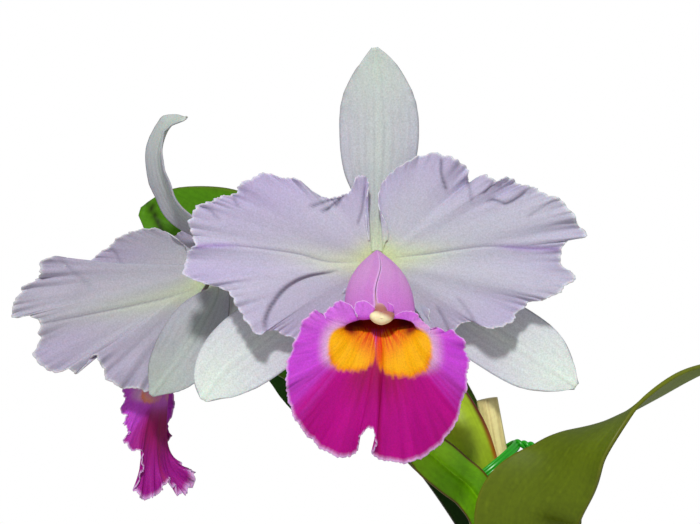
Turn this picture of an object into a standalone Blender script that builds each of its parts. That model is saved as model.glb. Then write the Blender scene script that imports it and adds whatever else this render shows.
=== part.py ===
"""A potted cattleya orchid with two open blooms, as separate closed solids.

Lengths in this file are millimetres, and MM turns them into Blender's metres. The origin is the centre of
the underside of the pot. +Z is up, the first bloom faces -Y, and the second bloom faces -X.
"""

import math
import random

import bmesh
import bpy
import numpy as np
from mathutils import Euler, Matrix, Vector

MM = 0.001

# Driving dimensions
GAP = 0.35
PETAL_THICKNESS = 0.8
SEPAL_THICKNESS = 1.0
LIP_THICKNESS = 0.8
LEAF_THICKNESS = 1.8

POT_HEIGHT = 118
POT_FOOT_RADIUS = 52
POT_RIM_RADIUS = 73
POT_WALL = 5.5
POT_FLOOR = 8
POT_RIM_BAND = 18
POT_RIM_STEP = 3
POT_SIDES = 40

BARK_TOP = 104
BARK_CHIPS = 34
CHIP_LENGTH = 19
CHIP_WIDTH = 12
CHIP_HEIGHT = 9
CHIP_TILT = 0.13
CHIP_SPACING = 9.5
CHIP_TRIES = 4000
CHIP_MARGIN = 2.5
RHIZOME_ROOM = 17
ROOT_ROOM = 12
STAKE_ROOM = 18
WALL_ROOM = 11

RHIZOME_RADIUS = 5.5
ROOT_RADIUS = 1.8
HOLE_DEPTH = 12
STAKE_RADIUS = 4.7
STAKE_HOLE_DEPTH = 35
HOLE_ROOM = 0.6

RECEPTACLE_RADIUS = 5.0
RECEPTACLE_LENGTH = 5
RECEPTACLE_FRONT = 1.2
SHOULDER = 2
CLAW_RADIUS = 5.7
CLAW_LOW = -2.5
CLAW_HIGH = 3.9
PETAL_CLAW_DEPTH = 2.5
SEPAL_CLAW_DEPTH = 5.0
PETAL_ARCH = 2.0
# Where a side sepal sits on the receptacle, to the side and up, in claw radii
SIDE_SEAT = (0.77, -0.64)

# How finely each kind of sheet and stem is cut
PETAL_ROWS = 6
PETAL_COLUMNS = 46
SEPAL_ROWS = 11
LEAF_ROWS = 15
BRACT_ROWS = 9
BLADE_COLUMNS = 5
LIP_TUBE_ROWS = 4
LIP_FLARE_ROWS = 6
LIP_COLUMNS = 40
SPATHE_ROWS = 9
SPATHE_SIDES = 16
STEM_STATIONS = 22
BRANCH_STATIONS = 9
BULB_SIDES = 14
TIE_STATIONS = 24

# Where each bloom's parts meet, and the way from its face to its back
BLOOM_1 = (-52, -30, 381)
BACK_1 = (0, 1, 0)
BLOOM_2 = (-125, 20, 377)
BACK_2 = (0.93, -0.34, 0.12)

# Petal margins from the lower side of the claw round to the upper side, from the bloom's centre
LEFT_PETAL = [
    (-23, -1, -38), (-35, -2, -33), (-41, -3, -30), (-47, -2, -29), (-50, -9, -31), (-54, -9, -27),
    (-58, -8, -21), (-62, -9, -14), (-66, -7, -11), (-73, -9, -9), (-79, -9, -7), (-82, -6, -4),
    (-80, -6, 4), (-77, -9, 8), (-79, -6, 13), (-79, -9, 19), (-75, -8, 24), (-67, -9, 27),
    (-61, -7, 29), (-57, -9, 33), (-50, -8, 37), (-46, -5, 37.5), (-40, -4, 35.5), (-35, -6, 35.5),
    (-31, -4, 33), (-26, 0, 29), (-18, -1, 27), (-12, -4, 30), (-9, -4, 35), (-5, -2, 37),
]
RIGHT_PETAL = [
    (26, -1, -36), (33, -3, -29), (39, -7, -25), (47, -9, -28), (56, -9, -26), (60, -4, -21),
    (65, -5, -17), (73, -9, -15), (80, -9, -10), (84, -5, -6), (79, -1, -2), (78, 0, 4),
    (81, -3, 9), (89, -4, 11), (86, -2, 15), (83, -7, 20), (78, -6, 26), (71, -5, 29),
    (65, -6, 32), (60, -3, 33), (55, -8, 36), (50, -9, 34), (45, -5, 37), (39, 1, 34),
    (38, -4, 40), (32, -7, 44), (25, -4, 46), (18, -4, 45), (10, -4, 41), (4, -2, 36),
]
NEAR_PETAL = [
    (-26, -16, -50), (-31, -18, -52), (-38, -20, -51), (-44, -22, -48), (-48, -22, -42), (-52, -23, -38),
    (-57, -25, -41), (-62, -25, -45), (-68, -27, -43), (-75, -28, -41), (-78, -29, -37), (-75, -27, -31),
    (-75, -26, -24), (-79, -28, -20), (-87, -31, -20), (-86, -31, -13), (-82, -28, -8), (-76, -26, -5),
    (-75, -27, 0), (-73, -28, 3), (-67, -26, 5.5), (-60, -22, 6.5), (-54, -18, 8.5), (-47, -17, 11),
    (-40, -17, 15), (-33, -15, 18), (-26, -13, 19), (-19, -10, 17), (-13, -8, 14),
]

# Sepal ribs from the claw to the tip, with the half width, the turn about the rib in degrees and the cup
DORSAL_1 = [
    (0, 5, 0, 3.4, 0, 0.10), (0, 5, 10, 5, 0, 0.15), (0, 6, 22, 7, 0, 0.10), (0.5, 7, 38, 14.5, 0, 0.05),
    (1, 8, 55, 17, 0, 0.02), (0.5, 8, 70, 15.5, 0, 0.05), (0, 7, 83, 9, 0, 0.10), (-1, 5, 91.5, 1, 0, 0),
]
LEFT_LATERAL_1 = [
    (0, 5, 0, 3.4, 0, 0), (-13, 6, -9, 8, 0, 0.05), (-31, 8, -20, 14, 0, 0.05), (-48, 9, -32, 16.5, 0, 0.02),
    (-62, 8, -43, 15, 0, 0.02), (-70, 6, -52, 10, 0, 0.05), (-74, 4, -59, 1.5, 0, 0),
]
RIGHT_LATERAL_1 = [
    (0, 5, 0, 3.4, 0, 0), (15, 6, -9, 8, 0, 0.05), (34, 8, -20, 14, 0, 0.05), (52, 9, -31, 16.5, 0, 0.02),
    (69, 8, -41, 16, 0, 0.02), (79, 6, -48, 10, 0, 0.05), (85, 4, -53, 1.5, 0, 0),
]
DORSAL_2 = [
    (0, 0, 0, 3.4, 62, 0.1), (3, 0, 13, 5, 64, 0.2), (-13, 5, 26, 11, 68, 0.3), (-20, 7, 38, 14, 70, 0.3),
    (-23, 8, 49, 14, 71, 0.3), (-22, 8, 58, 12, 72, 0.3), (-18, 6, 65, 8, 72, 0.3), (-11, 3, 68, 0.9, 72, 0),
]
NEAR_LATERAL_2 = [
    (0, 0, 0, 3.4, -20, 0), (3, -13, -10, 6, -15, 0.1), (-3, -20, -22, 12, -10, 0.25),
    (-10, -21, -34, 13, 0, 0.25), (-18, -22, -45, 10, 10, 0.2), (-25, -21, -54, 0.9, 10, 0),
]
# Each piece's kind, side of the bloom and points, and whether it is the mirror of what those give
SHAPES_1 = {
    "left_petal": ("petal", -1, LEFT_PETAL, False),
    "right_petal": ("petal", 1, RIGHT_PETAL, False),
    "dorsal_sepal": ("sepal", 0, DORSAL_1, False),
    "left_sepal": ("sepal", -1, LEFT_LATERAL_1, False),
    "right_sepal": ("sepal", 1, RIGHT_LATERAL_1, False),
}
SHAPES_2 = {
    "near_petal": ("petal", 1, NEAR_PETAL, False),
    "far_petal": ("petal", 1, NEAR_PETAL, True),
    "dorsal_sepal": ("sepal", 0, DORSAL_2, False),
    "near_sepal": ("sepal", 1, NEAR_LATERAL_2, False),
    "far_sepal": ("sepal", 1, NEAR_LATERAL_2, True),
}

# Lips: the angle round the mouth from its top, then the margin's place in the bloom's own axes
LIP_1 = [
    (2, 0, -41, -18), (12, -5, -40, -16.5), (22, -9, -40, -17.5), (32, -13, -39, -16), (46, -18, -37, -15),
    (58, -23, -36, -17), (68, -26, -37, -20), (78, -30, -34, -22), (90, -34, -34, -28), (102, -37, -31, -36),
    (114, -38, -35, -45), (126, -37, -31, -55), (138, -34, -36, -64), (150, -28, -32, -73),
    (160, -20, -37, -80), (168, -11, -35, -80), (174, -5, -39, -74), (181, -2, -42, -69),
    (188, 1.5, -39, -75), (196, 8, -35, -82), (205, 15, -38, -82), (216, 24, -33, -77),
    (228, 31, -37, -68), (240, 35, -33, -58), (252, 37, -37, -47), (264, 37, -33, -37),
    (276, 33, -36, -30), (286, 28, -34, -28), (296, 24, -36, -26.5), (306, 20, -36, -22.5),
    (318, 16, -37, -20), (332, 11, -38, -19), (346, 8, -40, -19.5), (358, 5, -42, -21),
]
LIP_2 = [
    (2, -1, -36, -31), (20, -7, -37, -31), (40, -13, -38, -32), (60, -17, -39, -36), (78, -18, -39, -43),
    (92, -17, -40, -50), (106, -16, -40, -57), (120, -16, -40, -64), (134, -16, -37, -71),
    (146, -15, -38, -79), (158, -14, -31, -87), (168, -9, -31, -94), (176, -4, -23, -93),
    (182, -1, -25, -89), (188, 4, -22, -94), (196, 9, -29, -96), (206, 14, -34, -90),
    (216, 15, -37, -81), (228, 16, -38, -72), (240, 16, -40, -64), (254, 16, -40, -57),
    (268, 17, -40, -50), (284, 18, -39, -43), (302, 17, -39, -36), (322, 12, -38, -32), (342, 7, -37, -31),
    (358, 1, -36, -31),
]
# Tube of each lip: where its axis starts and where its mouth is, in the bloom's own axes, then the mouth's
# half width and half height, and how far the tube swells halfway
LIP_TUBE_1 = ((0, -2.4, -1.5), (2, -36, -26), 19, 5.5, 4)
LIP_TUBE_2 = ((0, -3.5, -1.5), (0, -27, -41), 13, 8, 2)
LIP_BASE_RADIUS = 4.4
# How much of the half turn on each side stays open at the mouth, along the seam on top
LIP_SEAM = 0.07

# Column: its straight foot, then the part of the way to the mouth, the radius and the lift above the axis
COLUMN_FOOT_DEPTH = -1.8
COLUMN_FOOT_RADIUS = 2.3
COLUMN_STATIONS = [
    (0.12, 2.5, 0.3), (0.3, 2.8, 0.8), (0.6, 3.2, 1.8), (0.82, 3.4, 2.4), (0.97, 3.5, 3.6), (1.02, 2.2, 3.2),
]

# Leaf ribs in the pot's axes, with the half width, the turn about the rib and the fold of the blade
LEAF_1 = [
    (-3, 8.5, 263.6, 4, 0, 0.35), (-9, 18, 282, 12, 0, 0.35), (-17, 30, 297, 19, 0, 0.3),
    (-43, 58, 327, 30, 0, 0.25), (-77, 82, 355, 33, 0, 0.25), (-110, 98, 376, 33, 0, 0.25),
    (-134, 106, 393, 29, 0, 0.25), (-150, 108, 407, 16, 0, 0.2), (-157, 106, 414, 1.5, 0, 0),
]
LEAF_2 = [
    (3, 35, 227.2, 4, 0, 0.3), (1, 40, 246, 8, 0, 0.3), (-4, 46, 264, 11, 0, 0.3),
    (-21, 62, 293, 15, 0, 0.25), (-47, 82, 312, 20, 0, 0.2), (-75, 98, 323, 18, 0, 0.2),
    (-93, 105, 327, 11, 0, 0.15), (-103, 108, 328, 1.5, 0, 0),
]
LEAF_3 = [
    (14, -7, 224.6, 4, 0, -0.3), (14, -12, 241, 13, 0, -0.3), (14, -21, 256, 20, 0, -0.25),
    (16, -30, 275, 22, 0, -0.15), (22, -37, 291, 20, 24, -0.1), (34, -38, 304, 17, 58, -0.1),
    (52, -32, 314, 16, 86, 0), (71, -22, 324, 14, 108, 0.1), (90, -10, 333, 9, 106, 0.1),
    (107, 2, 339, 1.2, 100, 0),
]
LEAF_4 = [
    (-4.5, 61, 207.6, 3.4, 0, 0.3), (1, 64, 222, 11, 10, 0.3), (24, 70, 238, 20, 50, 0.25),
    (50, 78, 246, 25, 70, 0.2), (80, 86, 241, 25, 75, 0.2), (106, 92, 224, 19, 75, 0.15),
    (122, 95, 205, 9, 75, 0.1), (129, 96, 194, 1.5, 75, 0),
]

# Pseudobulbs: where each stands and where its top is
BULB_FOOT_HEIGHT = 116.2
BULBS = [
    ((0, 6), (-3, 3.5, 263)),
    ((4, 33), (3, 33, 226)),
    ((17, -25), (14, -6, 224)),
    ((-14, 52), (-5, 60, 206)),
]
BULB_RADII = [5.5, 7.0, 8.2, 9.5, 10.8, 11.6, 11.2, 9.0, 5.0]
BULB_RIBS = 7
BULB_RIB_DEPTH = 0.06
BULB_BEND = 1.6
BULB_DEPTH = 0.8
RHIZOME = [(18, -29), (8, -9), (0, 6), (2, 20), (4, 33), (-5, 43), (-15, 53)]
# Each root: the place on the rhizome, then the bend and the hole that it goes down
ROOTS = [
    ((14, -20), (30, -22), (36, -20)), ((4, -2), (-12, -12), (-20, -14)), ((3, 27), (20, 30), (27, 33)),
    ((-2, 40), (-18, 34), (-26, 30)), ((-12, 50), (-28, 48), (-34, 44)), ((0, 10), (-14, 12), (-22, 10)),
]

FLOWER_STEM = [
    (-2.5, -0.8, 263.5, 2.9), (-5.4, -6, 285, 2.9), (-11.5, -6.5, 304, 2.8), (-17.6, -3, 319, 2.7),
    (-24, 4, 332, 2.7), (-36, 13, 344, 2.6), (-52, 20, 352, 2.5), (-72, 24, 358, 2.5),
    (-95, 22, 368, 2.7), (-109, 17, 376, 3.4),
]
PEDICEL_1 = [(-52, 19.5, 355.2, 2.3), (-53, 14, 367, 2.4), (-52.5, 5, 375, 2.6), (-52, -8, 380, 3.4)]
# The small keeled bract in front of the spathe, as a leaf is given
BRACT = [
    (-3, -3.4, 252, 4, 0, 0.3), (-6, -12, 269, 7.5, 0, 0.35), (-15, -18, 286, 9.5, 0, 0.4),
    (-26, -20, 298, 9, 0, 0.4), (-37, -19, 307, 5, 0, 0.3), (-42, -17, 311, 1.2, 0, 0),
]
BRACT_THICKNESS = 1.0
# Spathe: the middle, the half width and the half thickness at each station
SPATHE_THICKNESS = 0.8
SPATHE_FLATNESS = 1.3
SPATHE = [
    (-2.4, -0.9, 264.6, 7.5, 4.4), (-5.4, -6, 286, 11.5, 5.2), (-11.5, -6.3, 304, 12.5, 5.0),
    (-17.8, -2.6, 319, 9.5, 4.8), (-22.9, 3, 330, 4.6, 4.4),
]
STAKE_FOOT = (44, 15, 70)
STAKE_TOP = (-3.5, 5.5, 321)
TIE_CENTRE = (-5.2, -0.6, 290.5)
TIE_HALF_LENGTH = 18.2
TIE_HALF_DEPTH = 16.6
TIE_RISE = 38
TIE_RADIUS = 1.25
# The twisted ends, from the tie's outermost point, with their radius
TIE_TAIL = [(-1, 0, -0.5, 1.8), (3, -2, 0.5, 2.0), (7, -3, -1, 1.5)]

ORCHID = bpy.data.collections.new("cattleya_orchid")
CUTTERS = bpy.data.collections.new("cutters")


def clear_scene():
    for old in list(bpy.data.objects):
        bpy.data.objects.remove(old)
    bpy.context.scene.collection.children.link(ORCHID)
    bpy.context.scene.collection.children.link(CUTTERS)


def material(name, colour, roughness):
    made = bpy.data.materials.new(name)
    made.use_nodes = True
    shader = made.node_tree.nodes["Principled BSDF"]
    shader.inputs["Base Color"].default_value = (*colour, 1)
    shader.inputs["Roughness"].default_value = roughness
    shader.inputs["Metallic"].default_value = 0
    return made


def add_object(name, data, look, collection=None):
    made = bpy.data.objects.new(name, data)
    (collection or ORCHID).objects.link(made)
    made.data.materials.append(look)
    return made


def smooth_path(points, count):
    """Points evenly spaced along a Catmull-Rom curve through the given ones, whatever their width."""
    points = np.array(points, float)
    ends = np.vstack([2 * points[0] - points[1], points, 2 * points[-1] - points[-2]])
    t = np.linspace(0, 1, 16, endpoint=False)[:, None]
    dense = []
    for a, b, c, d in zip(ends, ends[1:], ends[2:], ends[3:]):
        dense.append(0.5 * (2 * b + (c - a) * t + (2 * a - 5 * b + 4 * c - d) * t**2
                            + (3 * b - a - 3 * c + d) * t**3))
    dense = np.vstack(dense + [points[-1:]])
    steps = np.linalg.norm(np.diff(dense[:, :3], axis=0), axis=1)
    along = np.concatenate([[0], np.cumsum(steps)])
    wanted = np.linspace(0, along[-1], count)
    return np.stack([np.interp(wanted, along, column) for column in dense.T], 1)


def unit(vectors):
    return vectors / np.linalg.norm(vectors, axis=-1, keepdims=True)


def bloom_axes(back):
    """Rows are the bloom's right, back and up, as someone facing the bloom sees them."""
    back = unit(np.array(back, float))
    right = unit(np.cross(back, (0, 0, 1)))
    return np.array([right, back, np.cross(right, back)])


def sheet(name, grid, thickness, look, closed=False):
    """A thin solid on a grid of points, cut into the same triangles on both of its faces."""
    rows, columns = grid.shape[:2]
    shape = bmesh.new()
    bmesh.ops.create_grid(shape, x_segments=columns - 1, y_segments=rows - 1, size=1)
    for vertex, place in zip(shape.verts, grid.reshape(-1, 3)):
        vertex.co = place * MM
    if closed:
        bmesh.ops.remove_doubles(shape, verts=shape.verts, dist=1e-6)
    bmesh.ops.triangulate(shape, faces=shape.faces, quad_method="FIXED")
    mesh = bpy.data.meshes.new(name)
    shape.to_mesh(mesh)
    shape.free()
    mesh.shade_smooth()
    made = add_object(name, mesh, look)
    shell = made.modifiers.new("thickness", "SOLIDIFY")
    shell.thickness = thickness * MM
    shell.offset = 0
    shell.use_even_offset = False
    return made


def fan(claw, margin, rows, columns, arch):
    """A petal: rays from a short claw to its margin, which only waves towards the margin."""
    edge = smooth_path(margin, columns)
    across = np.linspace(0, 1, columns)[:, None]
    root = np.array(claw[0]) * (1 - across) + np.array(claw[1]) * across
    out = (np.linspace(0, 1, rows) ** 0.8)[:, None, None]
    calm = smooth_path(margin[:: len(margin) // 5], columns)
    depth = calm[:, 1] * out[..., 0] ** 1.5 + (edge[:, 1] - calm[:, 1]) * out[..., 0] ** 4
    grid = root + (edge - root) * out
    arched = arch * np.sin(math.pi * out[..., 0]) * np.sin(math.pi * across[:, 0]) ** 2
    grid[..., 1] = root[:, 1] * (1 - out[..., 0]) + depth - arched
    return grid


def blade(stations, rows, columns):
    """A sepal or leaf along its rib. A turn of 0 faces -Y, and the cup or fold lifts the two sides."""
    path = smooth_path(stations, rows)
    rib, half, turn, cup = path[:, :3], path[:, 3], np.radians(path[:, 4]), path[:, 5]
    along = unit(np.gradient(rib, axis=0))
    side = unit(np.cross(along, (0, 1, 0)))
    face = np.cross(side, along)
    across = np.linspace(-1, 1, columns)
    turned = side * np.cos(turn)[:, None] + face * np.sin(turn)[:, None]
    lifted = face * np.cos(turn)[:, None] - side * np.sin(turn)[:, None]
    lift = cup[:, None] * (np.sqrt(across**2 + 0.04) - 0.2)
    return (rib[:, None] + turned[:, None] * (half[:, None] * across)[..., None]
            - lifted[:, None] * (half[:, None] * lift)[..., None])


def tube_axes(tube):
    """Where a lip's tube starts and ends, the way along it, and the way up across it."""
    start, mouth = np.array(tube[0], float), np.array(tube[1], float)
    axis = unit(mouth - start)
    top = unit(np.cross((1, 0, 0), axis))
    return start, mouth, axis, top * np.sign(top[2])


def lip_surface(tube, margin, rows_in_tube, rows_in_flare, columns):
    """A lip: a tube that widens to its mouth and then rolls outward to a ruffled margin."""
    margin = np.array(margin, float)
    edge = smooth_path(np.hstack([margin[:, 1:], margin[:, :1]]), columns)
    angle = np.radians(edge[:, 3])
    edge = edge[:, :3]
    start, mouth, axis, top = tube_axes(tube)
    width, height, swell = tube[2:]
    rings = []
    for s in np.linspace(0, 1, rows_in_tube):
        half_width = LIP_BASE_RADIUS + (width - LIP_BASE_RADIUS) * s**0.5
        half_height = LIP_BASE_RADIUS + (height - LIP_BASE_RADIUS) * s + swell * math.sin(math.pi * s)
        turned = math.pi + (angle - math.pi) * (1 - LIP_SEAM * s**6)
        ring = start + (mouth - start) * s + np.cos(turned)[:, None] * top * half_height
        ring[:, 0] -= np.sin(turned) * half_width
        rings.append(ring)
    rim = rings[-1]
    reach = np.linalg.norm(edge - rim, axis=1)[:, None]
    bend = rim + axis * np.minimum(0.45 * reach, 14) + (edge - rim) * 0.12
    for s in np.linspace(0, 1, rows_in_flare + 1)[1:]:
        rings.append(rim * (1 - s) ** 2 + bend * 2 * s * (1 - s) + edge * s**2)
    return np.array(rings)


def rounded_tube(name, stations, look, sides=3, collection=None):
    """A curve with round section and filled ends. The fourth number of a station is its radius."""
    curve = bpy.data.curves.new(name, "CURVE")
    curve.dimensions = "3D"
    curve.bevel_depth = MM
    curve.bevel_resolution = sides
    curve.use_fill_caps = True
    spline = curve.splines.new("POLY")
    spline.points.add(len(stations) - 1)
    for point, (x, y, z, radius) in zip(spline.points, stations):
        point.co = (x * MM, y * MM, z * MM, 1)
        point.radius = radius
    return add_object(name, curve, look, collection)


def as_mesh(curve_object):
    """The curve's object replaced by a mesh of the same shape, with its ends welded."""
    graph = bpy.context.evaluated_depsgraph_get()
    mesh = bpy.data.meshes.new_from_object(curve_object.evaluated_get(graph))
    shape = bmesh.new()
    shape.from_mesh(mesh)
    bmesh.ops.remove_doubles(shape, verts=shape.verts, dist=1e-6)
    shape.to_mesh(mesh)
    shape.free()
    name = curve_object.name
    holder = curve_object.users_collection[0]
    made = bpy.data.objects.new(name + "_mesh", mesh)
    holder.objects.link(made)
    made.matrix_world = curve_object.matrix_world
    bpy.data.objects.remove(curve_object)
    made.name = name
    return made


def apply_boolean(target, operation, collection, solver="EXACT"):
    """Joins or cuts the target with everything in a collection, and removes that collection."""
    change = target.modifiers.new(operation.lower(), "BOOLEAN")
    change.operation = operation
    change.solver = solver
    change.operand_type = "COLLECTION"
    change.collection = collection
    graph = bpy.context.evaluated_depsgraph_get()
    mesh = bpy.data.meshes.new_from_object(target.evaluated_get(graph))
    target.modifiers.clear()
    target.data = mesh
    for used in list(collection.objects):
        bpy.data.objects.remove(used)
    bpy.data.collections.remove(collection)


def new_group(name):
    group = bpy.data.collections.new(name)
    CUTTERS.children.link(group)
    return group


def turned(name, profile, sides, look):
    """A profile of radius and height, from the top of its outer side down, turned about Z."""
    mesh = bpy.data.meshes.new(name)
    points = [(radius * MM, 0, height * MM) for radius, height in profile]
    mesh.from_pydata(points, [(i, i + 1) for i in range(len(points) - 1)], [])
    made = add_object(name, mesh, look)
    screw = made.modifiers.new("turn", "SCREW")
    screw.steps = sides
    screw.render_steps = sides
    screw.use_merge_vertices = True
    screw.merge_threshold = 0.00001
    return made


def pot_inner_radius(height):
    slope = (POT_RIM_RADIUS - POT_FOOT_RADIUS) / POT_HEIGHT
    return POT_FOOT_RADIUS - POT_WALL + slope * height


def make_pot(look):
    band_foot = POT_HEIGHT - POT_RIM_BAND
    band_radius = POT_RIM_RADIUS - POT_RIM_STEP
    wall_radius = pot_inner_radius(band_foot) + POT_WALL - POT_RIM_STEP
    turned("pot", [
        (0, POT_FLOOR), (pot_inner_radius(POT_FLOOR), POT_FLOOR),
        (pot_inner_radius(POT_HEIGHT), POT_HEIGHT), (POT_RIM_RADIUS, POT_HEIGHT),
        (POT_RIM_RADIUS + 1, POT_HEIGHT - 2), (band_radius + 2, band_foot + 2),
        (band_radius + 0.5, band_foot), (wall_radius, band_foot - 1.5),
        (POT_FOOT_RADIUS - 1, 2), (POT_FOOT_RADIUS - 3, 0), (0, 0),
    ], POT_SIDES, look)


def chip_places(rng):
    """Spots for bark chips on the surface, clear of the rhizome, the roots and the stake."""
    stake = stake_at(BARK_TOP)
    taken = [(x, y, RHIZOME_ROOM) for x, y in RHIZOME]
    taken += [(x, y, ROOT_ROOM) for root in ROOTS for x, y in root]
    taken += [((a[0] + b[0]) / 2, (a[1] + b[1]) / 2, ROOT_ROOM) for a, b, _ in ROOTS]
    taken += [(stake[0], stake[1], STAKE_ROOM)]
    reach = pot_inner_radius(BARK_TOP) - WALL_ROOM
    places = []
    for _ in range(CHIP_TRIES):
        angle = rng.uniform(0, math.tau)
        radius = reach * math.sqrt(rng.random())
        x, y = radius * math.cos(angle), radius * math.sin(angle)
        clear = all(math.hypot(x - a, y - b) > room for a, b, room in taken)
        apart = all(math.hypot(x - a, y - b) > CHIP_SPACING for a, b in places)
        if clear and apart:
            places.append((x, y))
        if len(places) == BARK_CHIPS:
            break
    return places


def stake_at(height):
    part = (height - STAKE_FOOT[2]) / (STAKE_TOP[2] - STAKE_FOOT[2])
    return [a + (b - a) * part for a, b in zip(STAKE_FOOT, STAKE_TOP)]


def make_bark(look):
    """The potting bark: one body with chips standing out of its top and plain holes for what goes in."""
    foot_radius = pot_inner_radius(POT_FLOOR + GAP) - GAP
    top_radius = pot_inner_radius(BARK_TOP) - GAP
    bark = turned("bark_mix", [
        (0, BARK_TOP), (top_radius, BARK_TOP), (foot_radius, POT_FLOOR + GAP), (0, POT_FLOOR + GAP),
    ], POT_SIDES, look)
    rng = random.Random(7)
    chips = new_group("chips")
    edge = (top_radius - CHIP_MARGIN) * MM
    for x, y in chip_places(rng):
        shape = bmesh.new()
        bmesh.ops.create_cube(shape, size=1)
        scale = rng.uniform(0.8, 1.2)
        size = Vector((CHIP_LENGTH, CHIP_WIDTH, CHIP_HEIGHT)) * scale * MM
        bmesh.ops.scale(shape, vec=size, verts=shape.verts)
        for vertex in shape.verts:
            spread = rng.uniform(0.65, 0.85) if vertex.co.z > 0 else rng.uniform(1.0, 1.1)
            vertex.co.xy *= spread
        tilts = (rng.uniform(-CHIP_TILT, CHIP_TILT), rng.uniform(-CHIP_TILT, CHIP_TILT))
        turn = Euler((*tilts, rng.uniform(0, math.pi))).to_matrix().to_4x4()
        shape.transform(Matrix.Translation((x * MM, y * MM, BARK_TOP * MM)) @ turn)
        for vertex in shape.verts:
            over = vertex.co.xy.length / edge
            vertex.co.xy /= max(over, 1)
        mesh = bpy.data.meshes.new("chip")
        shape.to_mesh(mesh)
        shape.free()
        chip = bpy.data.objects.new("chip", mesh)
        chips.objects.link(chip)
    apply_boolean(bark, "UNION", chips, "MANIFOLD")
    holes = new_group("holes")
    for spot in ROOTS:
        x, y = spot[-1]
        stations = [(x, y, z, ROOT_RADIUS + HOLE_ROOM) for z in (BARK_TOP - HOLE_DEPTH - GAP, BARK_TOP + 9)]
        as_mesh(rounded_tube("root_hole", stations, look, 1, holes))
    deepest = stake_at(BARK_TOP - STAKE_HOLE_DEPTH - GAP)
    above = stake_at(BARK_TOP + 12)
    stations = [(*place, STAKE_RADIUS + HOLE_ROOM) for place in (deepest, above)]
    as_mesh(rounded_tube("stake_hole", stations, look, 3, holes))
    apply_boolean(bark, "DIFFERENCE", holes, "MANIFOLD")


def make_rhizome(look):
    """The creeping stem on the bark, with its roots going down their holes."""
    height = BARK_TOP + GAP + RHIZOME_RADIUS
    path = smooth_path([(x, y, height, RHIZOME_RADIUS) for x, y in RHIZOME], 13)
    rhizome = as_mesh(rounded_tube("rhizome", path, look, 2))
    roots = new_group("roots")
    for (ax, ay), (bx, by), (cx, cy) in ROOTS:
        run = BARK_TOP + GAP + ROOT_RADIUS + 1.5
        route = [(ax, ay, height - 1), (bx, by, run + 1), (cx - (cx - bx) * 0.25, cy - (cy - by) * 0.25, run),
                 (cx, cy, run - 3), (cx, cy, BARK_TOP - HOLE_DEPTH)]
        path = [(*place, ROOT_RADIUS) for place in smooth_path(route[:4], 7)]
        path.append((*route[-1], ROOT_RADIUS))
        as_mesh(rounded_tube("root", path, look, 1, roots))
    apply_boolean(rhizome, "UNION", roots)


def make_bulb(name, foot, top, look):
    """A club-shaped, furrowed pseudobulb, lofted because its section changes as it rises."""
    start = np.array((*foot, BULB_FOOT_HEIGHT))
    end = np.array(top, float)
    sides = BULB_SIDES
    angle = np.linspace(0, math.tau, sides, endpoint=False)
    rings = []
    for step, radius in enumerate(BULB_RADII):
        part = step / (len(BULB_RADII) - 1)
        furrow = 1 + BULB_RIB_DEPTH * np.cos(BULB_RIBS * angle) * math.sin(math.pi * part)
        lean = start + (end - start) * np.array((part**BULB_BEND, part**BULB_BEND, part))
        ring = np.stack([np.cos(angle), BULB_DEPTH * np.sin(angle), 0 * angle], 1)
        rings.append(lean + ring * (radius * furrow)[:, None])
    mesh = bpy.data.meshes.new(name)
    count = len(rings)
    faces = [(r * sides + i, r * sides + (i + 1) % sides, (r + 1) * sides + (i + 1) % sides,
              (r + 1) * sides + i) for r in range(count - 1) for i in range(sides)]
    faces.append(tuple(reversed(range(sides))))
    faces.append(tuple(range((count - 1) * sides, count * sides)))
    mesh.from_pydata([tuple(p * MM) for p in np.vstack(rings)], [], faces)
    mesh.shade_smooth()
    add_object(name, mesh, look)


def make_stake(look):
    foot = stake_at(BARK_TOP - STAKE_HOLE_DEPTH)
    rounded_tube("stake", [(*foot, STAKE_RADIUS), (*STAKE_TOP, STAKE_RADIUS)], look, 4)


def make_tie(look):
    """A soft tie round the spathe and the stake, with its two ends twisted together."""
    rise = math.radians(TIE_RISE)
    ring = []
    for step in range(TIE_STATIONS):
        angle = step / TIE_STATIONS * math.tau
        out = TIE_HALF_LENGTH * math.cos(angle)
        ring.append((TIE_CENTRE[0] + out * math.cos(rise), TIE_CENTRE[1] + TIE_HALF_DEPTH * math.sin(angle),
                     TIE_CENTRE[2] + out * math.sin(rise), TIE_RADIUS))
    band = rounded_tube("tie", ring, look, 1)
    band.data.splines[0].use_cyclic_u = True
    band = as_mesh(band)
    ends = new_group("tie_ends")
    knot = ring[0]
    tail = [(knot[0] + x, knot[1] + y, knot[2] + z, radius) for x, y, z, radius in TIE_TAIL]
    as_mesh(rounded_tube("tail", tail, look, 1, ends))
    apply_boolean(band, "UNION", ends)


def make_spathe(look):
    """The flat green sheath that the flower stem grows out of, open at its top."""
    path = smooth_path(SPATHE, SPATHE_ROWS)
    along = unit(np.gradient(path[:, :3], axis=0))
    side = unit(np.cross(along, (0, 1, 0)))
    face = np.cross(side, along)
    angle = np.linspace(0, math.tau, SPATHE_SIDES + 1)
    deep = np.sign(np.sin(angle)) * np.abs(np.sin(angle)) ** SPATHE_FLATNESS
    grid = (path[:, None, :3] + side[:, None] * (path[:, 3:4] * np.cos(angle))[..., None]
            + face[:, None] * (path[:, 4:5] * deep)[..., None])
    sheet("spathe", grid, SPATHE_THICKNESS, look, closed=True)


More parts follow.
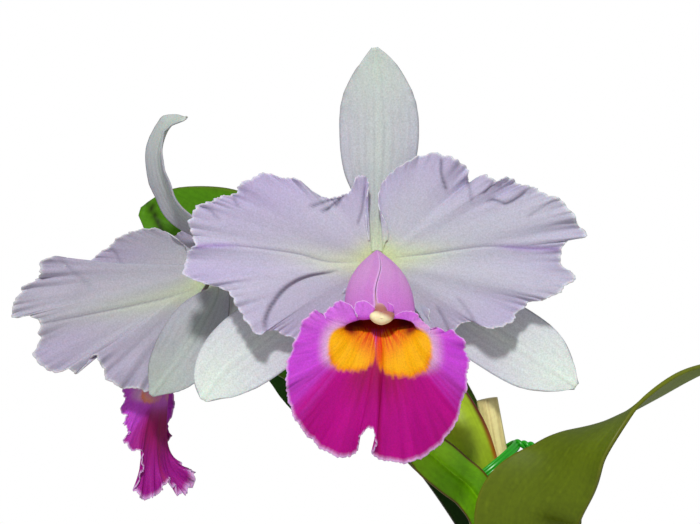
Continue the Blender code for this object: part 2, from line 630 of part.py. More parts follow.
def make_column(name, centre, axes, tube, look):
    """The column under the lip's roof, club-shaped and ending in the anther cap."""
    start, mouth, _, top = tube_axes(tube)
    stations = []
    for depth in (RECEPTACLE_FRONT - GAP, COLUMN_FOOT_DEPTH):
        stations.append((*(centre + np.array((0, depth, 0)) @ axes), COLUMN_FOOT_RADIUS))
    for part, radius, lift in COLUMN_STATIONS:
        place = start + (mouth - start) * part + top * lift
        stations.append((*(centre + place @ axes), radius))
    rounded_tube(name, stations, look, 2)


def mirror(grid, axes):
    """The grid on the other side of the bloom's middle plane."""
    return grid - 2 * (grid @ axes[0])[..., None] * axes[0]


def petal_grid(axes, side, margin):
    claw = [(side * CLAW_RADIUS, PETAL_CLAW_DEPTH, height) for height in (CLAW_LOW, CLAW_HIGH)]
    return fan(np.array(claw) @ axes, margin, PETAL_ROWS, PETAL_COLUMNS, PETAL_ARCH)


def sepal_grid(axes, way, stations):
    seat = np.array((way[0] * CLAW_RADIUS, SEPAL_CLAW_DEPTH, way[1] * CLAW_RADIUS)) @ axes
    return blade([tuple(seat) + tuple(stations[0][3:])] + stations[1:], SEPAL_ROWS, BLADE_COLUMNS)


def make_bloom(number, centre, back, shapes, lip, tube, looks):
    """One bloom: its petals, sepals, lip and column, each its own node round the receptacle."""
    centre = np.array(centre, float)
    axes = bloom_axes(back)
    for name, (kind, side, points, copied) in shapes.items():
        if kind == "petal":
            grid = petal_grid(axes, side, points)
        else:
            grid = sepal_grid(axes, (0, 1) if side == 0 else (side * SIDE_SEAT[0], SIDE_SEAT[1]), points)
        if copied:
            grid = mirror(grid, axes)
        thickness = PETAL_THICKNESS if kind == "petal" else SEPAL_THICKNESS
        sheet(f"bloom_{number}_{name}", centre + grid, thickness, looks[kind])
    grid = lip_surface(tube, lip, LIP_TUBE_ROWS, LIP_FLARE_ROWS, LIP_COLUMNS) @ axes
    sheet(f"bloom_{number}_lip", centre + grid, LIP_THICKNESS, looks["lip"])
    make_column(f"bloom_{number}_column", centre, axes, tube, looks["column"])


def make_stems(look):
    """The flower stem from the spathe to the second bloom, and the branch to the first."""
    back_2 = bloom_axes(BACK_2)[1]
    back_1 = bloom_axes(BACK_1)[1]
    stem = list(map(tuple, smooth_path(FLOWER_STEM, STEM_STATIONS)))
    branch = list(map(tuple, smooth_path(PEDICEL_1, BRANCH_STATIONS)))
    for route, centre, back in ((stem, BLOOM_2, back_2), (branch, BLOOM_1, back_1)):
        behind = RECEPTACLE_FRONT + RECEPTACLE_LENGTH
        for depth, swell in ((behind + SHOULDER, 0.8), (behind, 1), (RECEPTACLE_FRONT, 1)):
            route.append((*(np.array(centre, float) + back * depth), RECEPTACLE_RADIUS * swell))
    rounded_tube("flower_stem", stem, look, 2)
    rounded_tube("pedicel_1", branch, look, 2)


def main():
    clear_scene()
    looks = {
        "petal": material("lilac_petal", (0.62, 0.52, 0.72), 0.55),
        "sepal": material("pale_sepal", (0.68, 0.70, 0.68), 0.55),
        "lip": material("magenta_lip", (0.55, 0.03, 0.42), 0.5),
        "column": material("cream_column", (0.85, 0.72, 0.55), 0.45),
    }
    leaf = material("olive_leaf", (0.10, 0.19, 0.02), 0.4)
    stem = material("green_stem", (0.20, 0.33, 0.06), 0.45)
    bulb = material("green_bulb", (0.24, 0.32, 0.10), 0.5)
    make_bloom(1, BLOOM_1, BACK_1, SHAPES_1, LIP_1, LIP_TUBE_1, looks)
    make_bloom(2, BLOOM_2, BACK_2, SHAPES_2, LIP_2, LIP_TUBE_2, looks)
    for number, stations in enumerate((LEAF_1, LEAF_2, LEAF_3, LEAF_4), 1):
        sheet(f"leaf_{number}", blade(stations, LEAF_ROWS, BLADE_COLUMNS), LEAF_THICKNESS, leaf)
    for number, (foot, top) in enumerate(BULBS, 1):
        make_bulb(f"pseudobulb_{number}", foot, top, bulb)
    sheet("bract", blade(BRACT, BRACT_ROWS, BLADE_COLUMNS), BRACT_THICKNESS, leaf)
    make_stems(stem)
    make_spathe(material("spathe", (0.30, 0.45, 0.08), 0.4))
    make_rhizome(material("rhizome", (0.22, 0.20, 0.11), 0.7))
    make_pot(material("clay_pot", (0.45, 0.18, 0.10), 0.85))
    make_bark(material("bark", (0.13, 0.07, 0.04), 0.9))
    make_stake(material("cane", (0.75, 0.62, 0.36), 0.6))
    make_tie(material("green_tie", (0.03, 0.40, 0.05), 0.35))
    bpy.data.collections.remove(CUTTERS)


main()
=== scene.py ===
"""The look of a potted cattleya orchid with two blooms, built round its solid model.

The tables are close to the model's, in millimetres, and MM turns them into metres. Each piece is cut more
finely than the model's and then ruffled, veined and coloured.
"""

import itertools
import math
import random

import bpy
import numpy as np
from mathutils import Euler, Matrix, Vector


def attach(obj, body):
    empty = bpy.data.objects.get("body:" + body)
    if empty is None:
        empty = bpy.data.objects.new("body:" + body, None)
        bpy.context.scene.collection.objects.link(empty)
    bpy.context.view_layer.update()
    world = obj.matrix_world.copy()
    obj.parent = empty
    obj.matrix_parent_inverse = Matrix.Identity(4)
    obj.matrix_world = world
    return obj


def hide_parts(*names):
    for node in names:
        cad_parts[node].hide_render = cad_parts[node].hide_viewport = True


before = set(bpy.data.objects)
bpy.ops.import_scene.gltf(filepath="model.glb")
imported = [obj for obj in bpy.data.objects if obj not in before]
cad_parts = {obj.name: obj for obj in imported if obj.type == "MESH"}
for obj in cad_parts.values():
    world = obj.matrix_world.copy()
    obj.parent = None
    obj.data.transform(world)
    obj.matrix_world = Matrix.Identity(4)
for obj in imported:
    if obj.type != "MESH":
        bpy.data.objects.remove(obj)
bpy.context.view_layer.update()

MM = 0.001

# Camera, level with the main bloom
CAMERA_PLACE = (-0.0635, -1.230, 0.381)
CAMERA_LENS = 145.2
CAMERA_SENSOR = 36

# Driving dimensions
GAP = 0.35
LEAF_THICKNESS = 1.8

POT_HEIGHT = 118
POT_FOOT_RADIUS = 52
POT_RIM_RADIUS = 73
POT_WALL = 5.5
POT_FLOOR = 8
POT_RIM_BAND = 18
POT_RIM_STEP = 3

BARK_TOP = 104

RHIZOME_RADIUS = 5.5
ROOT_RADIUS = 1.8
HOLE_DEPTH = 12
STAKE_RADIUS = 4.7
STAKE_HOLE_DEPTH = 35

RECEPTACLE_RADIUS = 5.0
RECEPTACLE_LENGTH = 5
RECEPTACLE_FRONT = 1.2
SHOULDER = 2
CLAW_LOW = -2.5
CLAW_HIGH = 3.9
FINE_CLAW = 2.4
FINE_CLAW_DEPTH = 0.9
# Where each sepal starts in front of its seat and where it leaves it: the distance out and the depth
SEPAL_SEATS = ((1.2, 0.9), (5.7, 3.6))
SEPAL_VEINS = 9
PETAL_ARCH = 2.0
# The way from the receptacle's middle to a side sepal's seat, to the side and up
SIDE_SEAT = (0.77, -0.64)

# How finely each kind of sheet is cut, and how thick it is
PETAL_ROWS = 40
PETAL_COLUMNS = 420
SEPAL_ROWS = 80
SEPAL_COLUMNS = 35
LIP_TUBE_ROWS = 26
LIP_FLARE_ROWS = 40
LIP_COLUMNS = 440
LEAF_ROWS = 100
LEAF_COLUMNS = 41
PETAL_THICKNESS = 0.5
SEPAL_THICKNESS = 0.8
LIP_THICKNESS = 0.5
# Rings along each tube or turned form, and points round each ring
RINGS = {"column": 40, "cap": 26, "spathe": 70, "bulb": 60, "flower_stem": 90, "pedicel_1": 40,
         "stem_end": 30, "rhizome": 120, "root": 60, "stake": 90, "tie": 120, "tie_end": 60}
SIDES = {"column": 36, "cap": 48, "spathe": 96, "bulb": 84, "stem": 32, "rhizome": 36, "root": 20,
         "stake": 64, "tie": 30, "tie_end": 16, "pot": 160, "bark": 96}

# Stage
FLOOR_RADIUS = 2.2
FLOOR_SIDES = 96
FLOOR_COLOUR = (0.85, 0.85, 0.85, 1)
FLOOR_ROUGHNESS = 0.9
KEY_SIZE = 0.16
KEY_DISTANCE = 1.5
KEY_POWER = 16
KEY_WAY = (-0.06, -0.82, 0.56)
FILL_STRENGTH = 0.34
FILL_COLOUR = (0.97, 0.98, 1.0, 1)

# How finely curves and lines are followed, and how the rows of a sheet crowd towards its margin
CURVE_STEPS = 16
LINE_POINTS = 24
CALM_PARTS = 14
MARGIN_CROWDING = 1.35
# Ruffles of the margins: how many waves, how high they are, and how fast they die away inward
PETAL_TEETH = ((132, 0.35, 22), (61, 0.55, 14), (29, 0.8, 11))
PETAL_WAVES = ((21, 1.5, 9), (58, 1.0, 15), (97, 0.35, 17))
LIP_TEETH = ((170, 0.38, 20), (83, 0.6, 14))
LIP_RAYS = 128
BLOTCH_POWER = 2.6
RIB_VIOLET_SHARE = 0.45
# Cap at the column's end: its half sizes, and where its middle is from the middle of the mouth
CAP_HALF = (5.3, 3.4, 2.9)
CAP_LIFT = 3.4
CAP_SHIFT = (0.4, -2.2, 0.5)
# A way that no stem follows, from which the sides of a swept tube are counted
ASLANT = (0.31, 0.86, 0.4)
TUBE_GRAIN = 0.08
# Sheaths of a bulb: where each starts and ends up the bulb, and how far it stands off
SHEATHS = ((0.02, 0.46, 0.7), (0.24, 0.8, 0.4))
SHEATH_ROWS = 26
SHEATH_THICKNESS = 0.25
RHIZOME_SCARS = 13
TIE_BAND_HALF = 2.1
TIE_WIRE_RADIUS = 0.75
TIE_END_RADIUS = 0.95
TIE_TWISTS = 1.6
POT_WOBBLE = 0.002
# Bark chips: how many, the ranges of their half sizes and colours, how many points lie along each edge, and
# what is left of a point's distance from the middle where one, two or three sides meet
BARK_CHIPS_SHOWN = 420
CHIP_HALF_SIZES = ((6, 11), (3.5, 6.5), (1.8, 3.4))
CHIP_COLOURS = ((86, 150), (52, 88), (30, 52))
CHIP_CUTS = (5, 4, 3)
CHIP_PULLS = {1: 0.97, 2: 0.9, 3: 0.8}
# Where the seeds of each kind start. A bloom's petals and sepals start at its number times that
SEEDS ={"bloom": 10, "lip": 50, "spathe": 61, "leaf": 70, "bract": 77, "bulb": 80, "root": 200, "stake": 9,
         "pot": 5, "bark": 12}

# Where each bloom's parts meet, and the way from its face to its back
BLOOM_1 = (-52, -30, 381)
BACK_1 = (0, 1, 0)
BLOOM_2 = (-125, 20, 377)
BACK_2 = (0.93, -0.34, 0.12)

# Petal margins from the lower side of the claw round to the upper side, from the bloom's centre
LEFT_PETAL = [
    (-6, 1, -3), (-10.4, 0.5, -6.6), (-14, 0, -11.4), (-15.5, -0.5, -18), (-18, -1, -28), (-23, -1, -38),
    (-35, -3, -33), (-41, -5, -30), (-47, -7, -29), (-50, -9, -31), (-54, -9, -27),
    (-58, -8, -21), (-62, -9, -14), (-66, -7, -11), (-73, -9, -9), (-79, -9, -7), (-82, -6, -4),
    (-80, -6, 4), (-77, -9, 8), (-79, -6, 13), (-79, -9, 19), (-75, -8, 24), (-67, -9, 27),
    (-61, -7, 29), (-57, -9, 33), (-50, -8, 37), (-46, -5, 37.5), (-40, -4, 35.5), (-35, -6, 35.5),
    (-31, -4, 33), (-26, 0, 29), (-18, -1, 27), (-12, -4, 30), (-9, -4, 35), (-5, -2, 37),
    (-3.6, -2, 32.5), (-4.4, -2, 28), (-4.8, -1.5, 21), (-4.4, -1, 14), (-3.4, -0.5, 9),
]
RIGHT_PETAL = [
    (9, 1, -3.5), (14, 0.5, -6.5), (18.5, 0, -11.5), (21.5, -0.5, -18), (22.8, -1, -26), (26, -1, -36),
    (33, -3, -29), (39, -7, -25), (47, -9, -28), (56, -9, -26), (60, -4, -21),
    (65, -5, -17), (73, -9, -15), (80, -9, -10), (84, -5, -6), (79, -1, -2), (78, 0, 4),
    (81, -3, 9), (89, -4, 11), (86, -2, 15), (83, -7, 20), (78, -6, 26), (71, -5, 29),
    (65, -6, 32), (60, -3, 33), (55, -8, 36), (50, -9, 34), (45, -5, 37), (39, 1, 34),
    (38, -4, 40), (32, -7, 44), (25, -4, 46), (18, -4, 45), (10, -4, 41), (4, -2, 36),
    (1.2, -2, 31), (0.4, -2, 25.5), (1.8, -1.8, 20.5), (4.8, -1, 14.5), (4.4, -0.5, 9),
]
NEAR_PETAL = [
    (-9.1, -5, -14.3), (-12.1, -7, -18.2), (-16.9, -9, -22.2), (-22.1, -12, -29.6), (-24.7, -14, -37),
    (-26, -15, -46),
    (-26.5, -16, -51.8), (-32, -18, -51.3), (-37.8, -20, -50.9), (-41.3, -23, -48.7), (-45.2, -20, -46.5),
    (-45.6, -22, -42.6), (-49.6, -24, -36.5), (-51.7, -22, -38.7), (-54.4, -25, -41.8), (-57.4, -24, -44.4),
    (-60.9, -27, -42.6), (-66.1, -25, -43.9), (-72.7, -29, -40), (-76.1, -28, -37), (-74, -26, -32.6),
    (-72.6, -27, -24.3), (-73.6, -28, -21.3), (-77.2, -29, -19.1), (-82.4, -31, -20), (-84.8, -32, -18.7),
    (-83.4, -31, -13.9), (-80.6, -28, -7.8), (-75.7, -27, -4.3), (-72.2, -26, -2.1), (-73.1, -29, 0.5),
    (-71.8, -28, 4), (-66.6, -25, 6.6), (-63.5, -22, 3.5), (-58.7, -20, -0.8), (-55.7, -20, 0.5),
    (-52.6, -19, 4.4), (-45.2, -17, 9.6), (-39.1, -16, 14.9), (-33, -15, 17.5), (-26, -13, 18.8),
    (-20.8, -11, 17.9), (-15.6, -9, 14.9), (-11.7, -7, 11.4), (-9, -5, 5.7), (-6.9, -4, -1.7),
]

# Middle of each petal, as x and z from the bloom's centre
LEFT_RIB = [(-3, 0), (-20, 0), (-33, 3.4), (-47, 5.5), (-62, 7), (-79, 6.4)]
RIGHT_RIB = [(3, 1), (9.3, 2.1), (21.3, 3.4), (34.4, 5.4), (47.6, 6.8), (61, 6), (78, 5.4)]
NEAR_RIB = [(-3, -6), (-13, -10), (-29, -14), (-52, -18.7), (-73, -22.8)]
# Folds of each petal: the line, how far its left side steps back, and how deep the groove along it is
# Groove and step also set how dark the painted shade in each crease is
LEFT_FOLDS = [
    ([(-15, -2.6), (-19.7, -4.2), (-30.3, -6), (-38.7, -10.6), (-44.6, -17.8), (-47.6, -24.9), (-47, -31)],
     2.4, 0.4),
    ([(-30, 22.5), (-24.5, 24.7), (-13.9, 28.2)], 0, 0.8),
    ([(-25, 20.5), (-19.7, 23.5), (-11.5, 30.6)], 0, 0.9),
    ([(-19, 22), (-15, 27.1), (-9.1, 36)], 0, 0.9), ([(-9.1, 14), (-6.3, 22), (-4.9, 34)], 0, 0.6),
    ([(-58, 22), (-60.5, 27), (-61, 31)], 0, 0.5), ([(-66, 17), (-71, 22), (-76, 24)], 0, 0.5),
]
RIGHT_FOLDS = [
    ([(30, 28), (28.9, 31.9), (27.2, 37.2), (27.2, 45)], 0, 0.9),
    ([(40, 24), (39.4, 29), (38.6, 36)], 0, 0.5),
    ([(45, 25), (49.1, 26.3), (54.4, 24.7), (59.7, 27.3), (64, 31)], 0, 1.0),
    ([(44, 28), (47.6, 31.9), (51, 36.6)], 0, 0.8), ([(62, 18), (70, 23), (76, 27)], 0, 0.4),
    ([(25, -18), (29, -26), (32, -32)], 0, 0.5), ([(33, -14), (39, -22), (42, -28)], 0, 0.4),
]
NEAR_FOLDS = [
    ([(-50, -8), (-55.2, -3.2), (-59, 0), (-65.2, 6.2)], -1.2, 0.1),
    ([(-38, 2), (-41, 8), (-44, 11)], 0, 0.4),
]

# Sepal ribs from the claw to the tip, with the half width, the turn about the rib in degrees and the cup
DORSAL_1 = [
    (0, 5, 0, 3.4, 0, 0.10), (0, 5, 10, 5, 0, 0.15), (0, 6, 22, 7, 0, 0.10), (0.5, 7, 38, 14.5, 0, 0.05),
    (1, 8, 55, 17, 0, 0.02), (0.5, 8, 70, 15.5, 0, 0.05), (0, 7, 83, 9, 0, 0.10), (-1, 5, 91.5, 1, 0, 0),
]
LEFT_LATERAL_1 = [
    (0, 5, 0, 3.4, 0, 0), (-13, 6, -9, 8, 0, 0.05), (-31, 8, -20, 14, 0, 0.05), (-48, 9, -32, 16.5, 0, 0.02),
    (-62, 8, -43, 15, 0, 0.02), (-70, 6, -52, 10, 0, 0.05), (-74, 4, -59, 1.5, 0, 0),
]
RIGHT_LATERAL_1 = [
    (0, 5, 0, 3.4, 0, 0), (15, 6, -9, 8, 0, 0.05), (34, 8, -20, 14, 0, 0.05), (52, 9, -31, 15.8, 0, 0.02),
    (68, 8, -41, 14.8, 0, 0.02), (78, 6, -48, 9, 0, 0.05), (85, 4, -53, 1.5, 0, 0),
]
DORSAL_2 = [
    (0, 0, 0, 3.4, 62, 0.1), (3, 0, 13, 5, 64, 0.2), (-13, 5, 26, 11, 68, 0.3), (-20, 7, 38, 14, 70, 0.3),
    (-23, 8, 49, 14, 71, 0.3), (-22, 8, 58, 12, 72, 0.3), (-18, 6, 65, 8, 72, 0.3), (-11, 3, 68, 0.9, 72, 0),
]
NEAR_LATERAL_2 = [
    (0, 0, 0, 3.4, -20, 0), (3, -13, -10, 6, -15, 0.1), (-3, -20, -22, 12, -10, 0.25),
    (-10, -21, -34, 13, 0, 0.25), (-18, -22, -45, 10, 10, 0.2), (-25, -21, -54, 0.9, 10, 0),
]
# Each piece's kind, side of the bloom and points, and whether it is the mirror of what those give. Then for
# a petal the line of its middle, where the violet streak on it begins, is full and ends, its folds and its
# shade, or for a sepal its shade
# For the sepals the shade is painted light and shade: darker on the dorsal sepal in the petals' shade,
# lighter on the lit side sepals
SHAPES_1 = {
    "left_petal": ("petal", -1, LEFT_PETAL, False, LEFT_RIB, (52, 66, 90), LEFT_FOLDS, (1.01, 1.03, 0.99)),
    "right_petal": ("petal", 1, RIGHT_PETAL, False, RIGHT_RIB, (44, 56, 74), RIGHT_FOLDS, (1, 1.07, 0.95)),
    "dorsal_sepal": ("sepal", 0, DORSAL_1, False, 0.87),
    "left_sepal": ("sepal", -1, LEFT_LATERAL_1, False, 1.14),
    "right_sepal": ("sepal", 1, RIGHT_LATERAL_1, False, 1.16),
}
# The second bloom's shades darken its petals and sepals as painted shade, for it lies in the main bloom's
# shade
SHAPES_2 = {
    "near_petal": ("petal", 1, NEAR_PETAL, False, NEAR_RIB, (78, 100, 110), NEAR_FOLDS, (0.9, 0.94, 0.83)),
    "far_petal": ("petal", 1, NEAR_PETAL, True, NEAR_RIB, (78, 100, 110), NEAR_FOLDS, (0.9, 0.94, 0.83)),
    "dorsal_sepal": ("sepal", 0, DORSAL_2, False, 0.9),
    "near_sepal": ("sepal", 1, NEAR_LATERAL_2, False, 0.76),
    "far_sepal": ("sepal", 1, NEAR_LATERAL_2, True, 0.76),
}

# Lips: the angle round the mouth from its top, then the margin's place in the bloom's own axes
LIP_1 = [
    (2, -1, -42, -19), (8, -4, -41.5, -16.5), (14, -7.5, -41, -15.8), (19, -9.5, -40.5, -17.5),
    (23, -9, -42, -22.5), (27, -10.5, -40.5, -18), (33, -14, -40, -16.3), (40, -18.5, -38.5, -17.2),
    (46, -21.4, -38, -20.5), (50, -21.2, -38.5, -24.5), (54, -23.4, -37.5, -22.5), (58, -25.4, -37, -19.8),
    (66, -29.3, -36, -22.3), (74, -31.9, -34.5, -26.5), (84, -33.8, -33.5, -32), (92, -35.8, -33, -37),
    (102, -37.5, -32, -42), (114, -38, -35, -49), (126, -37, -31, -57), (138, -34, -36, -65),
    (150, -28, -32, -73), (160, -20, -37, -79), (166, -13, -36, -80.5), (169, -10.3, -35, -79.6),
    (172, -8.2, -36, -77.3), (175, -7.6, -38, -72.6), (177.5, -6.1, -39, -69.9), (180, -3.7, -40, -68),
    (182, -1.6, -40, -69.3), (184.5, -1.2, -39, -75), (188, -2, -36, -79.8), (192, 2, -35, -81.5),
    (197, 9, -36, -82.8), (205, 15, -38, -82), (216, 24, -33, -77), (228, 31, -37, -68), (240, 35, -33, -58),
    (252, 37, -37, -47), (264, 37, -33, -39), (272, 35.5, -34, -33), (278, 33.5, -35, -30),
    (283, 31, -34.5, -28.5), (286, 29.5, -33.5, -30.5), (291, 26, -35, -27.5), (296, 23, -36, -27),
    (299, 20.8, -37, -32.5), (302, 21.3, -37.5, -27.5), (308, 18, -38, -23.8), (316, 15, -38, -20.5),
    (324, 11.5, -38.5, -20.2), (334, 7.5, -39, -21.5), (344, 4.5, -40, -24), (351, 6.5, -40, -18.5),
    (357, 4, -41, -16.5),
]
LIP_2 = [
    (2, -1, -36, -31), (20, -7, -37, -31), (40, -13, -38, -32), (60, -17, -37, -36), (78, -18, -35, -43),
    (92, -17, -33, -50), (104, -16, -31.5, -57), (114, -15.5, -33.5, -62), (122, -14.5, -36, -66.7),
    (130, -13.5, -34, -71), (137, -12, -36.5, -74.5), (144, -11, -37, -79), (150, -12, -34, -83.5),
    (155, -12, -28, -86), (160, -12.5, -24, -90), (164, -11, -25.5, -93.5), (169, -9, -30, -97.5),
    (175, -4, -32, -92), (181, 0, -32, -90), (187, 4, -35, -95), (194, 8, -40, -97), (202, 12, -42.5, -94),
    (208, 13, -41, -89), (214, 12, -38.5, -84.5), (220, 12.5, -37, -79), (226, 13, -38, -76),
    (232, 15, -42, -73.5), (240, 16, -44, -70), (248, 15.5, -40.5, -66.5), (255, 17, -42.8, -62.5),
    (262, 17, -40, -59.5), (270, 17, -43, -56), (280, 17.5, -39.5, -50), (291, 18, -41, -43),
    (304, 17, -39, -36),
    (322, 12, -38, -32), (342, 7, -37, -31), (358, 1, -36, -31),
]
# Tube of each lip: where its axis starts and where its mouth is, in the bloom's own axes, then the mouth's
# half width and half height, and how far the tube swells halfway
LIP_TUBE_1 = ((0, -2.4, 4.4), (1, -36, -26), 14.5, 4.6, 3.5)
LIP_TUBE_2 = ((0, -3.5, 1.5), (0, -30.5, -41), 12, 5.5, 2)
LIP_APEX_RADIUS = 0.6
LIP_SEAM_BEND = 0.12
LIP_CLOSED = 0.997
# How much of the half turn on each side stays open at the mouth, along the seam on top
LIP_SEAM = 0.07

# Column: its straight foot, then the part of the way to the mouth, the radius and the lift above the axis
COLUMN_FOOT_DEPTH = -1.8
COLUMN_FOOT_RADIUS = 2.3
COLUMN_STATIONS = [
    (0.12, 2.5, 0.3), (0.3, 2.8, 0.8), (0.6, 3.2, 1.8), (0.82, 3.4, 2.4), (0.97, 3.5, 3.6), (1.02, 2.2, 3.2),
]

# Leaf ribs in the pot's axes, with the half width, the turn about the rib and the fold of the blade
LEAF_1 = [
    (-3, 8.5, 263.6, 4, 0, 0.35), (-9, 18, 282, 12, 0, 0.35), (-17, 30, 297, 19, 0, 0.3),
    (-43, 58, 330, 26, 0, 0.25), (-77, 82, 355, 33, 0, 0.25), (-110, 98, 376, 33, 0, 0.25),
    (-134, 106, 391, 28, 0, 0.25), (-151, 108, 401, 17, 0, 0.2), (-163, 106, 405, 2, 0, 0),
]
LEAF_2 = [
    (3, 35, 227.2, 4, 0, 0.3), (1, 40, 246, 8, 0, 0.3), (-4, 46, 264, 11, 0, 0.3),
    (-21, 62, 293, 13.5, 0, 0.25), (-47, 82, 320, 10.5, 0, 0.2), (-75, 98, 323, 18, 0, 0.2),
    (-93, 105, 327, 11, 0, 0.15), (-103, 108, 328, 1.5, 0, 0),
]
LEAF_3 = [
    (14, -7, 224.6, 4, 0, -0.3), (14, -12, 241, 13, 0, -0.3), (14, -21, 256, 20, 0, -0.25),
    (12.8, -30, 275, 22.7, 0, -0.15), (24.5, -37, 291.5, 18.2, 28, -0.1), (34, -38, 305, 18, 63, -0.1),
    (51, -32, 315.3, 16, 93, 0), (71, -22, 325.5, 13, 105, 0.1), (90, -10, 334, 5.5, 104, 0.1),
    (107, 2, 339, 1.2, 100, 0),
]
LEAF_4 = [
    (-4.5, 61, 207.6, 3.4, 0, 0.3), (1, 64, 222, 11, 10, 0.3), (24, 70, 235.5, 20, 50, 0.25),
    (50, 78, 243, 25, 70, 0.2), (80, 86, 239, 25, 75, 0.2), (106, 92, 224, 19, 75, 0.15),
    (122, 95, 205, 9, 75, 0.1), (129, 96, 194, 1.5, 75, 0),
]

# Pseudobulbs: where each stands and where its top is
BULB_FOOT_HEIGHT = 116.2
BULBS = [
    ((0, 6), (-3, 3.5, 263)),
    ((4, 33), (3, 33, 226)),
    ((17, -25), (14, -6, 224)),
    ((-14, 52), (-5, 60, 206)),
]
BULB_RADII = [5.5, 7.0, 8.2, 9.5, 10.8, 11.6, 11.2, 9.0, 5.0]
BULB_RIBS = 7
BULB_RIB_DEPTH = 0.06
BULB_BEND = 1.6
BULB_DEPTH = 0.8
RHIZOME = [(18, -29), (8, -9), (0, 6), (2, 20), (4, 33), (-5, 43), (-15, 53)]
# Each root: the place on the rhizome, then the bend and the hole that it goes down
ROOTS = [
    ((14, -20), (30, -22), (36, -20)), ((4, -2), (-12, -12), (-20, -14)), ((3, 27), (20, 30), (27, 33)),
    ((-2, 40), (-18, 34), (-26, 30)), ((-12, 50), (-28, 48), (-34, 44)), ((0, 10), (-14, 12), (-22, 10)),
]

FLOWER_STEM = [
    (-2.5, -0.8, 263.5, 2.9), (-5.4, -6, 285, 2.9), (-11.5, -6.5, 304, 2.8), (-17.6, -3, 319, 2.7),
    (-24, 4, 332, 2.7), (-36, 13, 344, 2.6), (-52, 20, 352, 2.5), (-72, 24, 358, 2.5),
    (-95, 22, 368, 2.7), (-109, 17, 376, 3.4),
]
PEDICEL_1 = [(-52, 19.5, 355.2, 2.3), (-53, 14, 367, 2.4), (-52.5, 5, 375, 2.6), (-52, -8, 380, 3.4)]
# The small keeled bract in front of the spathe, as a leaf is given
BRACT = [
    (-3, -3.4, 252, 4, 0, 0.4), (-5, -11, 271, 7, 0, 0.6), (-11, -16, 283, 8.6, 0, 0.7),
    (-19.5, -19, 290.5, 9.2, 0, 0.7), (-29, -20, 298.5, 9, 0, 0.7), (-37, -19, 305, 5.5, 0, 0.5),
    (-42, -17, 310, 1.2, 0, 0),
]
BRACT_THICKNESS = 1.0
# Spathe: the middle, the half width and the half thickness at each station
SPATHE_THICKNESS = 0.8
SPATHE_FLATNESS = 1.3
SPATHE = [
    (-2.4, -0.9, 264.6, 7.5, 4.4), (-7.4, -6, 286, 9.5, 5.2), (-13.5, -6.3, 304, 10.5, 5.0),
    (-19, -2.6, 319, 8.3, 4.8), (-22.9, 3, 330, 4.6, 4.4),
]
STAKE_FOOT = (44, 15, 70)
STAKE_TOP = (-3.5, 5.5, 321)
TIE_CENTRE = (-5.2, -0.6, 290.5)
TIE_HALF_LENGTH = 18.2
TIE_HALF_DEPTH = 16.6
TIE_RISE = 38

# Zones of each lip in its bloom's own axes: where its rays start, the magenta field's half angle and colour,
# each blotch's place and half sizes, how far the red veins reach, how strongly the margin is ruffled, how
# far back its sheet may lie and how late it turns out to the margin
LIP_ZONES_1 = {"centre": (0.5, -21.5), "spread": 46, "field": (178, 0, 130),
               "blotches": ((-10.7, -35.6, 9.6, 9.3), (10.8, -36.9, 11.2, 10.2)), "veins": 17, "ruffle": 1,
               "waist": 0, "curl": 4}
LIP_ZONES_2 = {"centre": (0, -43), "spread": 32, "field": (158, 0, 134),
               "blotches": ((-7, -50, 6, 5), (7, -50, 6, 5)), "veins": 4, "ruffle": 2.2,
               "waist": -36, "curl": 11}
# Each leaf's colour, its paler patches and rib, and its margin. The second leaf is painted dark as painted
# shade
LEAF_COLOURS = {
    1: ((52, 118, 4), (84, 142, 8), (92, 60, 10)),
    # Painted shade: the second leaf's colours are darkened, for it lies in shade behind the blooms
    2: ((22, 44, 8), (38, 80, 14), (40, 30, 10)),
    3: ((80, 96, 0), (108, 126, 16), (112, 112, 30)),
    4: ((58, 88, 20), (84, 118, 34), (90, 80, 30)),
}
BRACT_COLOURS = ((100, 172, 0), (148, 212, 20), (96, 20, 14))
# Where the first leaf is folded, and how wide the fold is and how dark the painted shade in its crease is
LEAF_FOLDS = {1: [(-159.5, 412), (-156.5, 404), (-153, 396.5), (-149, 388)]}
LEAF_FOLD_HALF = 1.7
LEAF_FOLD_SHADE = (30, 34, 6)
# The spathe's two margins: the side, and how strongly it is coloured
SPATHE_RIMS = ((-1, 1.0), (1, 0.35))
# How clear each leaf's rib is
LEAF_RIBS = {1: 0.5, 2: 0.9, 3: 0.15, 4: 0.7}

# Colours as seen, in steps of 0 to 255
LILAC = (190, 184, 206)
MAUVE = (182, 168, 206)
PALE_EDGE = (226, 222, 236)
THROAT_GREEN = (208, 216, 174)
THROAT_PALE = (202, 206, 196)
RIB_VIOLET = (160, 118, 206)
RIB_DARK = (138, 128, 152)
# Painted shade in the petals' creases and in the fine wrinkles near their margins
CREASE_PAINTED_SHADE = (92, 84, 108)
SEPAL_GREY = (200, 202, 207)
SEPAL_GREEN = (208, 220, 208)
SEPAL_BASE = (216, 228, 192)
SEPAL_VEIN = (150, 152, 160)
LIP_PINK = (204, 146, 204)
LIP_ROSE = (196, 112, 198)
LIP_VIOLET = (196, 66, 206)
LIP_LILAC = (206, 132, 216)
LIP_CRIMSON = (150, 0, 70)
LIP_EDGE = (230, 190, 236)
LIP_YELLOW = (242, 172, 0)
LIP_AMBER = (232, 132, 0)
LIP_HALO = (222, 196, 204)
LIP_RED = (214, 44, 10)
